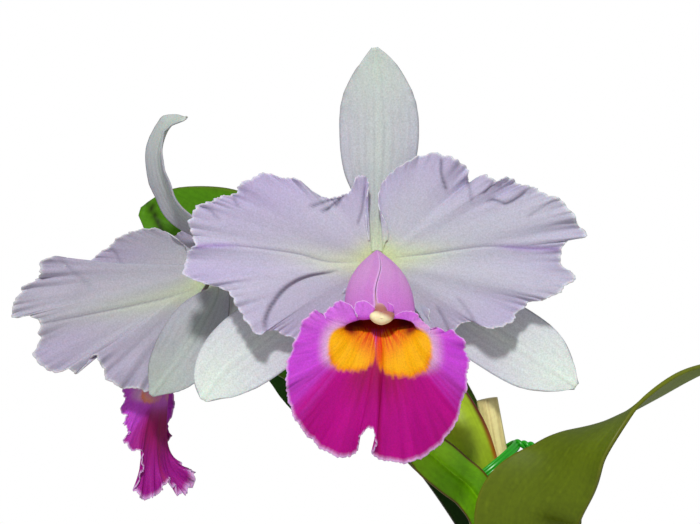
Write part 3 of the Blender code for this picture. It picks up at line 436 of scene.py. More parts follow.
# Maroon of the throat, partly the lip's own colour and partly painted shade
LIP_MAROON_SHADE = (128, 6, 18)
CAP_CREAM = (244, 228, 184)
CAP_ROSY = (176, 116, 104)
COLUMN_ROSE = (226, 176, 190)
SPATHE_LIGHT = (168, 192, 42)
SPATHE_GREEN = (130, 168, 24)
SPATHE_AMBER = (190, 110, 20)
SPATHE_BROWN = (96, 22, 10)
BULB_LIGHT = (112, 130, 48)
BULB_GREEN = (72, 96, 26)
SHEATH_TAN = (196, 172, 128)
SHEATH_BROWN = (128, 98, 62)
STEM_GREEN = (150, 172, 84)
STEM_TAN = (172, 160, 128)
RHIZOME_BROWN = (126, 108, 68)
ROOT_PALE = (206, 204, 184)
ROOT_GREEN = (150, 160, 110)
CANE_PALE = (255, 242, 168)
CANE_GROOVE = (214, 182, 112)
TIE_GREEN = (40, 168, 30)
CLAY = (186, 106, 70)
CLAY_BLOOM = (214, 176, 148)
BARK_DARK = (62, 42, 28)


def linear(colour):
    """A colour in steps of 0 to 255, as linear light."""
    values = np.array(colour, float) / 255
    return np.where(values <= 0.04045, values / 12.92, ((values + 0.055) / 1.055) ** 2.4)


def smooth(low, high, values):
    """A smooth rise from 0 at the low value to 1 at the high one, or a fall where high lies under low."""
    t = np.clip((values - low) / (high - low), 0, 1)
    return t * t * (3 - 2 * t)


def hump(distance, width):
    """1 in the middle, fading away to both sides over about that width."""
    return np.exp(-(distance / width) ** 2)


def mix(first, second, amount):
    return first * (1 - amount[..., None]) + second * amount[..., None]


def dye(tint, colour, amount):
    """The tint mixed with a colour by an amount at each point."""
    return mix(tint, linear(colour), amount)


def swings(count, samples, rng):
    """A smooth random line between -1 and 1, with a new value at each of its steps."""
    knots = rng.uniform(-1, 1, count + 2)
    place = np.linspace(0, count, samples)
    step = np.floor(place).astype(int)
    part = smooth(0, 1, place - step)
    return knots[step] * (1 - part) + knots[step + 1] * part


def shares(count, samples, rng):
    """A smooth random line between 0 and 1."""
    return 0.5 + 0.5 * swings(count, samples, rng)


def patches(down, across, grid, rng):
    """A smooth random field between 0 and 1 over a grid, with that many steps down and across it."""
    rows, columns = grid.shape[:2]
    return 0.5 + 0.5 * swings(down, rows, rng)[:, None] * swings(across, columns, rng)[None]


def smooth_path(points, count):
    """Points evenly spaced along a Catmull-Rom curve through the given ones, whatever their width."""
    points = np.array(points, float)
    ends = np.vstack([2 * points[0] - points[1], points, 2 * points[-1] - points[-2]])
    t = np.linspace(0, 1, CURVE_STEPS, endpoint=False)[:, None]
    dense = []
    for a, b, c, d in zip(ends, ends[1:], ends[2:], ends[3:]):
        dense.append(0.5 * (2 * b + (c - a) * t + (2 * a - 5 * b + 4 * c - d) * t**2
                            + (3 * b - a - 3 * c + d) * t**3))
    dense = np.vstack(dense + [points[-1:]])
    steps = np.linalg.norm(np.diff(dense[:, :3], axis=0), axis=1)
    along = np.concatenate([[0], np.cumsum(steps)])
    wanted = np.linspace(0, along[-1], count)
    return np.stack([np.interp(wanted, along, column) for column in dense.T], 1)


def unit(vectors):
    return vectors / np.linalg.norm(vectors, axis=-1, keepdims=True)


def bloom_axes(back):
    """Rows are the bloom's right, back and up, as someone facing the bloom sees them."""
    back = unit(np.array(back, float))
    right = unit(np.cross(back, (0, 0, 1)))
    return np.array([right, back, np.cross(right, back)])


def from_line(grid, line):
    """Each point's distance from a line in x and z, signed by its side, and its place along the line."""
    path = smooth_path([(x, 0, z) for x, z in line], LINE_POINTS)[:, [0, 2]]
    spots = grid[..., [0, 2]]
    nearest = np.full(spots.shape[:2], np.inf)
    signed = np.zeros_like(nearest)
    along = np.zeros_like(nearest)
    for step, (a, b) in enumerate(zip(path, path[1:])):
        way = b - a
        part = np.clip((spots - a) @ way / (way @ way), 0, 1)
        gap = spots - a - part[..., None] * way
        away = np.hypot(gap[..., 0], gap[..., 1])
        side = np.sign(way[0] * gap[..., 1] - way[1] * gap[..., 0])
        closer = away < nearest
        nearest = np.where(closer, away, nearest)
        signed = np.where(closer, away * side, signed)
        along = np.where(closer, (step + part) / (len(path) - 1), along)
    return signed, along


def mirror(grid, axes):
    return grid - 2 * (grid @ axes[0])[..., None] * axes[0]


def plain_tint(grid, colour):
    return np.broadcast_to(linear(colour), grid.shape)


def flow_grid(across, along):
    """The place across and along the veins or the grain, at each point."""
    across, along = np.broadcast_arrays(across, along)
    return np.stack([across, along, 0 * across], -1)


def tube_flow(grid, radius, length):
    """A flow along a closed grid of that radius and length."""
    rows, columns = grid.shape[:2]
    down = np.linspace(0, length, rows)[:, None]
    return flow_grid(np.linspace(0, math.tau * radius, columns), down * TUBE_GRAIN)


def add_tint(mesh, tint, name="tint"):
    colours = np.concatenate([tint.reshape(-1, 3), np.ones((tint.size // 3, 1))], 1)
    mesh.attributes.new(name, "FLOAT_COLOR", "POINT").data.foreach_set("color", colours.ravel())


def add_attributes(mesh, tint, flow):
    add_tint(mesh, tint)
    mesh.attributes.new("flow", "FLOAT_VECTOR", "POINT").data.foreach_set("vector", flow.ravel())


def add_piece(name, mesh, looks):
    """Shows a mesh as a piece of the plant, in place of the model's node of that name if it has one."""
    made = bpy.data.objects.new(f"{name}_fine", mesh)
    bpy.context.scene.collection.objects.link(made)
    for look in looks:
        mesh.materials.append(look)
    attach(made, "root")
    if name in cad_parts:
        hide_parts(name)
    return made


def add_grid(name, grid, tint, flow, looks, closed=False):
    """A piece on a grid of points in millimetres, with a colour and a flow at each point."""
    rows, columns = grid.shape[:2]
    index = np.arange(rows * columns).reshape(rows, columns)
    if closed:
        index = np.hstack([index, index[:, :1]])
    quads = np.stack([index[:-1, :-1], index[:-1, 1:], index[1:, 1:], index[1:, :-1]], -1).reshape(-1, 4)
    mesh = bpy.data.meshes.new(name)
    mesh.from_pydata((grid.reshape(-1, 3) * MM).tolist(), [], quads.tolist())
    add_attributes(mesh, tint, flow)
    mesh.shade_smooth()
    return add_piece(name, mesh, looks)


def thicken(made, thickness, back=0):
    """Gives a sheet its thickness, with another of its materials on its second face."""
    shell = made.modifiers.new("thickness", "SOLIDIFY")
    shell.thickness = thickness * MM
    shell.offset = 0
    shell.use_even_offset = False
    shell.material_offset = back


# Petals, sepals, leaves and lips as grids


def calmed(line):
    """The same line with its short waves smoothed away."""
    half = len(line) // CALM_PARTS
    window = np.hanning(2 * half + 1)
    padded = np.pad(line, ((half, half), (0, 0)), "edge")
    return np.stack([np.convolve(column, window / window.sum(), "valid") for column in padded.T], 1)


def fan(claw, margin, out, columns, arch):
    """A petal: rays from a short claw to its margin, which only waves towards the margin."""
    edge = smooth_path(margin, columns)
    calm = calmed(edge)
    across = np.linspace(0, 1, columns)[:, None]
    root = np.array(claw[0]) * (1 - across) + np.array(claw[1]) * across
    out = out[:, None, None]
    grid = root + (calm - root) * out + (edge - calm) * out**3.5
    arched = arch * np.sin(math.pi * out[..., 0]) * np.sin(math.pi * across[:, 0]) ** 2
    depth = calm[:, 1] * out[..., 0] ** 1.5 + (edge[:, 1] - calm[:, 1]) * out[..., 0] ** 5
    grid[..., 1] = root[:, 1] * (1 - out[..., 0]) + depth - arched
    return grid


def blade(stations, rows, columns):
    """A sepal or leaf along its rib. A turn of 0 faces -Y, and the cup or fold lifts the two sides."""
    path = smooth_path(stations, rows)
    rib, half, turn, cup = path[:, :3], path[:, 3], np.radians(path[:, 4]), path[:, 5]
    along = unit(np.gradient(rib, axis=0))
    side = unit(np.cross(along, (0, 1, 0)))
    face = np.cross(side, along)
    across = np.linspace(-1, 1, columns)
    turned = side * np.cos(turn)[:, None] + face * np.sin(turn)[:, None]
    lifted = face * np.cos(turn)[:, None] - side * np.sin(turn)[:, None]
    lift = cup[:, None] * (np.sqrt(across**2 + 0.04) - 0.2)
    grid = (rib[:, None] + turned[:, None] * (half[:, None] * across)[..., None]
            - lifted[:, None] * (half[:, None] * lift)[..., None])
    return grid, lifted[:, None], across, half


def tube_axes(tube):
    """Where a lip's tube starts and ends, the way along it, and the way up across it."""
    start, mouth = np.array(tube[0], float), np.array(tube[1], float)
    axis = unit(mouth - start)
    top = unit(np.cross((1, 0, 0), axis))
    return start, mouth, axis, top * np.sign(top[2])


def lip_surface(tube, margin, waist, curl, in_tube, in_flare, columns):
    """A lip: a pointed tube that widens to its mouth and then rolls outward to a ruffled margin."""
    margin = np.array(margin, float)
    edge = smooth_path(np.hstack([margin[:, 1:], margin[:, :1]]), columns)
    angle = np.radians(edge[:, 3])
    edge = edge[:, :3]
    start, mouth, axis, top = tube_axes(tube)
    width, height, swell = tube[2:]
    top_share = np.cos(angle / 2) ** 2
    closed = (angle - (angle[0] + angle[-1]) / 2) / (angle[-1] - angle[0]) * math.tau * LIP_CLOSED
    rings = []
    for s in in_tube:
        half_width = LIP_APEX_RADIUS + (width - LIP_APEX_RADIUS) * (1 - (1 - s) ** 3.4) ** 1.15
        half_height = LIP_APEX_RADIUS + (height - LIP_APEX_RADIUS) * s**0.6 + swell * math.sin(math.pi * s)
        bend = -LIP_SEAM_BEND * math.sin(math.tau * s)
        turned = math.pi + closed * (1 - LIP_SEAM * s**14) + bend * top_share
        ring = start + (mouth - start) * s + np.cos(turned)[:, None] * top * half_height
        ring[:, 0] -= np.sin(turned) * half_width
        rings.append(ring)
    rim = rings[-1]
    calm = calmed(edge)
    calm[:, 1] = np.minimum(calm[:, 1], waist)
    reach = np.linalg.norm(edge - rim, axis=1)[:, None]
    bend = rim + axis * np.minimum(0.45 * reach, 14) + (edge - rim) * 0.12
    for s in in_flare:
        rings.append(rim * (1 - s) ** 2 + bend * 2 * s * (1 - s) + calm * s**2 + (edge - calm) * s**curl)
    return np.array(rings), angle


def frill(across, out, rng, waves, size, inward):
    """Waves along a margin that die away inward, stronger in some stretches than in others."""
    count = across.size
    phase = waves * across + 0.9 * swings(waves // 3, count, rng)
    strength = 0.55 + 0.45 * swings(13, count, rng)
    ends = np.minimum(1, 12 * np.minimum(across, 1 - across))
    line = np.sin(math.tau * phase) * strength * ends
    return size * line * out[:, None] ** inward


def frills(across, out, rng, kinds):
    return sum(frill(across, out, rng, *kind) for kind in kinds)


def petal_tint(out, across, reach, rib, rib_along, streak, crease_shade, shade, rng):
    """Lilac petals, green in the throat, mauve near the margin, with a line along the middle, painted shade
    in the creases and fine wrinkles, and the piece's shade factor.
    """
    count = across.size
    begins, full, ends = streak
    outer = smooth(0.3, 1, out)[:, None] * (0.55 + 0.45 * swings(14, count, rng))
    tint = mix(linear(LILAC), linear(MAUVE), np.clip(outer, 0, 1))
    pale = hump(rib, 5.5) * smooth(begins, 0.3 * begins, reach)
    tint = dye(tint, THROAT_PALE, 0.8 * pale)
    tint = dye(tint, THROAT_GREEN, 0.85 * hump(reach, 7.5) + 0.4 * pale * smooth(30, 8, reach))
    tint = dye(tint, RIB_DARK, 0.6 * hump(rib, 0.4) * smooth(0, 0.3, rib_along))
    band = hump(rib, 1.3) * smooth(begins, full, reach) * smooth(ends + 6, ends, reach)
    tint = dye(tint, RIB_VIOLET, RIB_VIOLET_SHARE * band)
    # Painted shade: darker in fine wrinkles near the margin and along the folds' creases
    wrinkle_shade = np.clip(swings(110, count, rng), 0, 1) ** 2
    tint = dye(tint, CREASE_PAINTED_SHADE, 0.3 * wrinkle_shade * smooth(0.84, 0.97, out)[:, None])
    tint = dye(tint, CREASE_PAINTED_SHADE, 0.75 * np.clip(crease_shade, 0, 1))
    # The shade factor: painted shade on the second bloom's petals, a change of tone on the first bloom's
    return dye(tint, PALE_EDGE, 0.7 * smooth(0.975, 1.0, out)[:, None]) * shade


def crease(grid, folds):
    """The depth that the folds add, and how far into a crease each point is, which sets the painted shade
    there. A step lowers one side.
    """
    depth = np.zeros(grid.shape[:2])
    dark = np.zeros(grid.shape[:2])
    for line, step, groove in folds:
        signed, along = from_line(grid, line)
        here = smooth(0, 0.35, along) * smooth(60, 25, np.abs(signed))
        depth += step * smooth(-0.5, 0.9, signed) * np.exp(-np.maximum(signed, 0) / 26) * here
        valley = hump(signed, 0.7) * (smooth(0, 0.2, along) * smooth(1, 0.85, along))
        depth += groove * valley
        dark = np.maximum(dark, valley * min(1, abs(groove) + abs(step) / 6))
    return depth, dark


def make_petal(name, centre, axes, side, margin, copied, rib_line, streak, folds, shade, look, seed):
    """A petal with a toothed and ruffled margin, a groove along its middle and its folds."""
    rng = np.random.default_rng(seed)
    out = 1 - (1 - np.linspace(0, 1, PETAL_ROWS)) ** MARGIN_CROWDING
    across = np.linspace(0, 1, PETAL_COLUMNS)
    claw = [(side * FINE_CLAW, FINE_CLAW_DEPTH, height) for height in (CLAW_LOW, CLAW_HIGH)]
    grid = fan(np.array(claw) @ axes, margin, out, PETAL_COLUMNS, PETAL_ARCH)
    length = np.linalg.norm(np.diff(grid[-1], axis=0), axis=1).sum()
    ray = unit(grid[-1] - grid[0])
    grid = grid + ray * frills(across, out, rng, PETAL_TEETH)[..., None]
    rib, rib_along = from_line(grid, rib_line)
    steps, crease_shade = crease(grid, folds)
    waves = frills(across, out, rng, PETAL_WAVES)
    broad = 0.8 * swings(6, PETAL_COLUMNS, rng) * np.sin(math.pi * out)[:, None]
    veins = 0.03 * swings(90, PETAL_COLUMNS, rng) * smooth(0.1, 0.5, out)[:, None]
    groove = 0.45 * hump(rib, 0.9) * smooth(0, 0.25, rib_along)
    grid[..., 1] += waves + broad + veins + groove + steps
    reach = np.linalg.norm(grid - grid[0], axis=-1)
    tint = petal_tint(out, across, reach, rib, rib_along, streak, crease_shade, shade, rng)
    flow = flow_grid(across * length, reach * 0.12)
    if copied:
        grid = mirror(grid, axes)
    thicken(add_grid(name, centre + grid, tint, flow, [look]), PETAL_THICKNESS)


def make_sepal(name, centre, axes, way, stations, copied, shade, look, seed):
    """A sepal with its nerves, a keel along its middle and a slightly waved edge."""
    rng = np.random.default_rng(seed)
    seats = [np.array((way[0] * reach, depth, way[1] * reach)) @ axes for reach, depth in SEPAL_SEATS]
    stations = [(*seat, *stations[0][3:]) for seat in seats] + stations[1:]
    grid, lifted, across, half = blade(stations, SEPAL_ROWS, SEPAL_COLUMNS)
    along = np.linspace(0, 1, SEPAL_ROWS)[:, None]
    wave = 0.9 * swings(9, SEPAL_ROWS, rng)[:, None] * np.abs(across) ** 3 * np.sin(math.pi * along)
    crinkle = 0.6 * swings(34, SEPAL_ROWS, rng)[:, None] * np.abs(across) ** 9 * smooth(0.4, 0.9, along)
    veins = np.cos(SEPAL_VEINS * math.pi * across)[None] * np.sin(math.pi * along)
    keel = 0.5 * hump(across * half[:, None], 0.8)
    grid = grid + lifted * (wave + crinkle + 0.09 * veins - keel)[..., None]
    edge = np.abs(across)[None]
    green = np.maximum(smooth(0.55, 1.0, along) * (1 - 0.5 * edge), 0.5 * hump(across, 0.3))
    tint = mix(linear(SEPAL_GREY), linear(SEPAL_GREEN), np.clip(green, 0, 1))
    tint = dye(tint, LILAC, 0.35 * smooth(0.5, 1.0, edge) * smooth(0.9, 0.5, along))
    tint = dye(tint, SEPAL_VEIN, 0.30 * np.clip(-veins, 0, 1) ** 3 * (1 - edge**3))
    tint = dye(tint, SEPAL_VEIN, 0.5 * smooth(0.93, 1.0, edge))
    # The shade factor paints light and shade: darker where a sepal lies in shade, lighter where it is lit
    tint = dye(tint, SEPAL_BASE, 0.85 * smooth(0.28, 0.06, along)) * shade
    flow = flow_grid(across * half[:, None], 12 * along)
    if copied:
        grid = mirror(grid, axes)
    thicken(add_grid(name, centre + grid, tint, flow, [look]), SEPAL_THICKNESS)


def lip_rays(ray, rng):
    """Narrow random rays from a lip's centre, between -1 and 1, by the way that each point lies."""
    knots = rng.uniform(-1, 1, 2 * LIP_RAYS + 4)
    place = (ray / math.pi + 1) * LIP_RAYS
    step = np.clip(np.floor(place).astype(int), 0, knots.size - 2)
    return knots[step] + (knots[step + 1] - knots[step]) * smooth(0, 1, place - step)


def add_blotch(tint, spot, side, blotch, stripe):
    """A yellow blotch, amber above and along its rayed foot, with a pale halo on its outer side."""
    x, z, half_width, half_height = blotch
    dx, dz = (spot[..., 0] - x) / half_width, (spot[..., 2] - z) / half_height
    away = (np.abs(dx) ** BLOTCH_POWER + np.abs(dz) ** BLOTCH_POWER) ** (1 / BLOTCH_POWER)
    fringed = away + 0.05 * stripe * smooth(0.2, -0.6, dz)
    outer = smooth(-0.2, 0.9, side * dx) * smooth(-1.1, -0.3, dz)
    tint = dye(tint, LIP_HALO, 0.65 * smooth(1.6, 1.0, away) * outer)
    colour = mix(linear(LIP_YELLOW), linear(LIP_AMBER), smooth(-0.3, 0.9, dz - side * dx))
    colour = dye(colour, LIP_AMBER, smooth(0.75, 1.0, fringed) * smooth(0.4, -0.4, dz))
    return mix(tint, colour, smooth(1.10, 0.94, fringed))


def lip_tint(spot, zones, rng):
    """Zones of the lip's inside, by their place as the bloom is faced."""
    middle, start = zones["centre"]
    x, down = spot[..., 0] - middle, start - spot[..., 2]
    ray = np.arctan2(x, down)
    reach = np.hypot(x, down)
    stripe = lip_rays(ray, rng)
    turn = np.degrees(np.abs(ray))
    lilac = np.clip(0.08 * stripe + 0.5 * smooth(60, 100, turn), 0, 1)
    tint = mix(linear(LIP_VIOLET), linear(LIP_LILAC), lilac)
    spread = zones["spread"]
    field = smooth(spread + 8 + 3 * stripe, spread - 12 + 3 * stripe, turn) * smooth(12, 18, reach)
    tint = dye(tint, zones["field"], field)
    near = smooth(44, 22, reach + 3 * stripe) * smooth(34, 18, turn)
    tint = dye(tint, LIP_CRIMSON, 0.85 * near * field)
    tint = dye(tint, LIP_CRIMSON, 0.6 * hump(x, 0.7) * field)
    for side, blotch in zip((-1, 1), zones["blotches"]):
        tint = add_blotch(tint, spot, side, blotch, stripe)
    veins = zones["veins"]
    red = smooth(-0.15, 0.45, stripe) * smooth(veins + 3 * stripe, 0.45 * veins, reach)
    red = red * smooth(66, 46, turn)
    stem = hump(x, 1.5) * smooth(veins + 7, veins, reach)
    return dye(tint, LIP_RED, np.clip(red + 0.8 * stem, 0, 1))


def finish_lip_tint(tint, tube_part, flare_part, floor):
    """The dark maroon throat, partly the lip's own colour and partly painted shade in the recess, red along
    its floor, and the pale margin.
    """
    # Painted shade: the sides and roof of the mouth, under the side lobes' flared margins, darkened to
    # maroon
    deep = smooth(0.13, 0.02, flare_part) * smooth(0.86, 0.5, floor) * smooth(-0.55, 0.1, floor)
    tint = dye(tint, LIP_MAROON_SHADE, 0.95 * deep)
    # Inside the tube: maroon sides and roof, partly the lip's colour and partly painted shade in the recess,
    # red along the floor
    throat = mix(linear(LIP_MAROON_SHADE), linear(LIP_RED), 0.8 * smooth(0.7, 0.97, floor))
    tint = mix(tint, throat, smooth(1.0, 0.9, tube_part))
    return dye(tint, LIP_EDGE, 0.85 * smooth(0.972, 1.0, flare_part))


def make_lip(number, centre, axes, tube, margin, zones, look_in, look_out, seed):
    """The lip with its ruffled margin, coloured inside by zones and orchid pink outside."""
    rng = np.random.default_rng(seed)
    in_tube = np.linspace(0, 1, LIP_TUBE_ROWS)
    in_flare = 1 - (1 - np.linspace(0, 1, LIP_FLARE_ROWS + 1)[1:]) ** MARGIN_CROWDING
    grid, angle = lip_surface(tube, margin, zones["waist"], zones["curl"], in_tube, in_flare, LIP_COLUMNS)
    across = np.linspace(0, 1, LIP_COLUMNS)
    flare = np.concatenate([np.zeros(LIP_TUBE_ROWS), in_flare])
    ruffle = zones["ruffle"]
    ray = unit(grid[-1] - grid[LIP_TUBE_ROWS - 1])
    grid = grid + ray * frills(across, flare, rng, [*LIP_TEETH, (31, 0.8 * ruffle, 8)])[..., None]
    facing = unit(np.cross(np.gradient(grid, axis=1), np.gradient(grid, axis=0)))
    waves = frills(across, flare, rng, [(29, 1.1 * ruffle, 9), (75, 0.6, 12)])
    waves = waves + 0.7 * swings(9, LIP_COLUMNS, rng) * np.sin(math.pi * flare)[:, None]
    waves = waves + frill(across, flare, rng, 64, 0.05, 1)
    grid = grid + facing * waves[..., None]
    tube_part = np.concatenate([in_tube, np.ones(LIP_FLARE_ROWS)])[:, None]
    flare_part = flare[:, None]
    inner = finish_lip_tint(lip_tint(grid, zones, rng), tube_part, flare_part, -np.cos(angle)[None])
    outer = mix(linear(LIP_PINK), linear(LIP_ROSE), smooth(0.35, 1, tube_part))
    outer = dye(outer, LIP_ROSE, 0.3 * np.clip(swings(64, LIP_COLUMNS, rng), 0, 1))
    outer = mix(outer, inner, 0.93 * smooth(0.1, 0.5, flare_part))
    seam = smooth(math.radians(6.5), math.radians(4), np.minimum(angle, math.tau - angle))
    outer = dye(outer, LIP_EDGE, 0.5 * seam[None] * (tube_part < 1))
    flow = flow_grid(angle * 18, flare_part * 3)
    made = add_grid(f"bloom_{number}_lip", centre + grid @ axes, inner, flow, [look_out, look_in])
    add_tint(made.data, outer, "back")
    thicken(made, LIP_THICKNESS, 1)


def capped(grid, first, last):
    """The grid with a ring at each end drawn in to a point."""
    ends = [np.broadcast_to(point, (1, *grid.shape[1:])) for point in (first, last)]
    return np.concatenate([ends[0], grid, ends[1]])


def swept(path, sides, shape=None):
    """A closed grid round a path of x, y, z and radius, its ends drawn in to a point."""
    path = np.array(path, float)
    along = unit(np.gradient(path[:, :3], axis=0))
    side = unit(np.cross(along[0], ASLANT))
    frames = []
    for way in along:
        side = unit(side - way * (side @ way))
        frames.append((side, np.cross(way, side)))
    angle = np.linspace(0, math.tau, sides, endpoint=False)
    shape = np.ones((len(path), sides)) if shape is None else shape
    rings = [p[:3] + (np.outer(np.cos(angle) * f, a) + np.outer(np.sin(angle) * f, b)) * p[3]
             for p, (a, b), f in zip(path, frames, shape)]
    return capped(np.array(rings), path[0, :3], path[-1, :3])


def rounded(path, count=5):
    """The path with its two ends rounded off, by rings that shrink to a point."""
    path = np.array(path, float)
    ends = []
    for tip, next_point in ((path[0], path[1]), (path[-1], path[-2])):
        reach = unit(next_point[:3] - tip[:3]) * tip[3] * 0.6
        arc = np.linspace(0, math.pi / 2, count, endpoint=False)[::-1]
        ends.append([(*(tip[:3] + reach * (1 - math.sin(a))), tip[3] * math.cos(a)) for a in arc])
    return np.vstack([ends[0], path[1:-1], ends[1][::-1]])


def make_column(number, centre, axes, tube, look):
    """The column under the lip's roof, rosy and darker towards the cap at its end."""
    start, mouth, _, top = tube_axes(tube)
    stations = [(0, depth, 0, COLUMN_FOOT_RADIUS) for depth in (RECEPTACLE_FRONT - GAP, COLUMN_FOOT_DEPTH)]
    for part, radius, lift in COLUMN_STATIONS:
        stations.append((*(start + (mouth - start) * part + top * lift), radius))
    path = smooth_path(stations, RINGS["column"])
    path[-1, 3] = max(path[-1, 3], 0.6)
    grid = swept(path, SIDES["column"])
    near_cap = smooth(0.8, 0.9, np.linspace(0, 1, len(grid)))[:, None]
    tint = dye(plain_tint(grid, COLUMN_ROSE), CAP_ROSY, near_cap)
    flow = tube_flow(grid, 4, 40)
    add_grid(f"bloom_{number}_column", centre + grid @ axes, tint, flow, [look], True)


def make_cap(number, centre, axes, tube, look):
    """The cap over the pollen at the end of the column: cream, two lobes below and a rosy upper side."""
    _, mouth, _, top = tube_axes(tube)
    turn = np.linspace(0, math.pi, RINGS["cap"])[:, None]
    angle = np.linspace(0, math.tau, SIDES["cap"], endpoint=False)[None]
    bump = 1 + 0.06 * np.cos(3 * angle + 1) * np.sin(turn) + 0.05 * np.sin(5 * angle) * np.sin(turn) ** 2
    x = CAP_HALF[0] * np.sin(turn) * np.cos(angle) * bump
    y = CAP_HALF[1] * np.sin(turn) * np.sin(angle) * bump
    z = CAP_HALF[2] * np.cos(turn) + 0.9 * np.abs(x / 5) ** 1.5 - 0.6 * hump(x, 0.6) * (turn < 1.6)
    grid = np.stack([x, y, z], -1) + mouth + top * CAP_LIFT + np.array(CAP_SHIFT)
    tint = dye(plain_tint(grid, CAP_CREAM), CAP_ROSY, smooth(0.4, 3.2, x * 0.5 + z))
    flow = tube_flow(grid, 4, 8)
    add_grid(f"bloom_{number}_cap", centre + grid @ axes, tint, flow, [look], True)


def make_leaf(name, stations, thickness, colours, looks, seed, rib=1, edge_tint=0.5, shaded_fold=None):
    """A leathery blade with a groove down its middle, a thin pale rib and a coloured margin, and painted
    shade along a fold where one is given.
    """
    rng = np.random.default_rng(seed)
    grid, lifted, across, half = blade(stations, LEAF_ROWS, LEAF_COLUMNS)
    along = np.linspace(0, 1, LEAF_ROWS)[:, None]
    aside = across * half[:, None]
    channel = 0.9 * rib * hump(aside, 1.1) * smooth(0, 0.06, along) * smooth(1, 0.93, along)
    wave = 0.9 * swings(6, LEAF_ROWS, rng)[:, None] * across**2 * smooth(0, 0.3, along)
    wave = wave * smooth(1, 0.9, along)
    grid = grid + lifted * (channel + wave)[..., None]
    if shaded_fold:
        valley = hump(from_line(grid, shaded_fold)[0], LEAF_FOLD_HALF)
        grid = grid + lifted * valley[..., None]
    base, light, edge = (linear(c) for c in colours)
    specks = smooth(0.93, 0.96, rng.uniform(0, 1, (LEAF_ROWS, LEAF_COLUMNS)))
    paler = 0.6 * patches(7, 4, grid, rng) + 0.6 * smooth(0.6, 0.75, along)
    tint = mix(base, light, np.clip(paler, 0, 1))
    tint = mix(tint, light, 0.8 * rib * hump(aside, 0.8))
    tint = mix(tint, light, 0.35 * specks)
    tint = mix(tint, edge, edge_tint * smooth(0.93, 1.0, np.abs(across)))
    # Painted shade darkens the fold's crease
    if shaded_fold:
        tint = dye(tint, LEAF_FOLD_SHADE, 0.9 * valley)
    made = add_grid(name, grid, tint, flow_grid(aside, 10 * along), looks)
    thicken(made, thickness, 1)


def make_spathe(look):
    """The flat sheath round the foot of the flower stem, with a dry red-brown margin."""
    rows, sides = RINGS["spathe"], SIDES["spathe"]
    path = smooth_path(SPATHE, rows)
    along = unit(np.gradient(path[:, :3], axis=0))
    side = unit(np.cross(along, (0, 1, 0)))
    face = np.cross(side, along)
    angle = np.linspace(0, math.tau, sides, endpoint=False)
    deep = np.sign(np.sin(angle)) * np.abs(np.sin(angle)) ** SPATHE_FLATNESS
    grid = (path[:, None, :3] + side[:, None] * (path[:, 3:4] * np.cos(angle))[..., None]
            + face[:, None] * (path[:, 4:5] * deep)[..., None])
    rng = np.random.default_rng(SEEDS["spathe"])
    tint = dye(plain_tint(grid, SPATHE_LIGHT), SPATHE_GREEN, 0.6 * patches(9, 6, grid, rng))
    dry = smooth(0.35, 0.75, np.linspace(0, 1, rows))[:, None]
    brown = mix(linear(SPATHE_AMBER), linear(SPATHE_BROWN), dry)
    for edge, strength in SPATHE_RIMS:
        tint = mix(tint, brown, smooth(0.76, 0.94, edge * np.cos(angle)) * strength)
    flow = flow_grid(angle * 11, np.linspace(0, 8, rows)[:, None])
    thicken(add_grid("spathe", grid, tint, flow, [look], True), SPATHE_THICKNESS)


def make_bulb(number, foot, top, look, look_sheath):
    """A furrowed pseudobulb with dry sheaths round its foot."""
    rows, sides = RINGS["bulb"], SIDES["bulb"]
    start, end = np.array((*foot, BULB_FOOT_HEIGHT)), np.array(top, float)
    part = np.linspace(0, 1, rows)
    radius = smooth_path([(i, 0, 0, r) for i, r in enumerate(BULB_RADII)], rows)[:, 3]
    angle = np.linspace(0, math.tau, sides, endpoint=False)
    rng = np.random.default_rng(SEEDS["bulb"] + number)
    wander = 0.25 * swings(5, rows, rng)[:, None]
    furrow = 1 + BULB_RIB_DEPTH * np.cos(BULB_RIBS * angle[None] + wander) * np.sin(math.pi * part)[:, None]
    lean = start + (end - start) * np.stack([part**BULB_BEND, part**BULB_BEND, part], 1)
    ring = np.stack([np.cos(angle), BULB_DEPTH * np.sin(angle), 0 * angle], 1)
    grid = lean[:, None] + ring[None] * (radius[:, None] * furrow)[..., None]
    whole = capped(grid, lean[0], lean[-1])
    tint = dye(plain_tint(whole, BULB_LIGHT), BULB_GREEN, patches(8, 6, whole, rng))
    flow = flow_grid(angle * 10, np.linspace(0, 10, rows + 2)[:, None])
    add_grid(f"pseudobulb_{number}", whole, tint, flow, [look], True)
    make_sheaths(number, grid, lean, angle, rng, look_sheath)


def make_sheaths(number, grid, lean, angle, rng, look):
    """Papery tan sheaths round the lower part of a bulb, torn along the top."""
    rows = len(grid)
    sides = angle.size
    rise = np.linspace(0, 1, SHEATH_ROWS)[:, None]
    for turn, (low, high, out) in enumerate(SHEATHS):
        torn = high - 0.07 * (1 + swings(17, sides, rng)) - 0.05 * (1 + np.cos(angle + 2.1 * turn + number))
        torn[-6:] = torn[-6:] + (torn[0] - torn[-6:]) * np.linspace(0, 1, 6)
        level = low + (torn - low)[None] * rise
        index = np.clip(level * (rows - 1), 0, rows - 1.001)
        floor = index.astype(int)
        part = (index - floor)[..., None]
        column = np.arange(sides)
        place = grid[floor, column] * (1 - part) + grid[floor + 1, column] * part
        middle = lean[floor] * (1 - part) + lean[floor + 1] * part
        puff = out + 0.35 * swings(11, sides, rng)[None] ** 2 + 0.5 * rise**4
        place = place + unit(place - middle) * puff[..., None]
        tint = dye(plain_tint(place, SHEATH_TAN), SHEATH_BROWN, shares(30, sides, rng))
        name = f"sheath_{number}_{turn + 1}"
        made = add_grid(name, place, tint, flow_grid(angle * 11, level * 8), [look], True)
        thicken(made, SHEATH_THICKNESS)


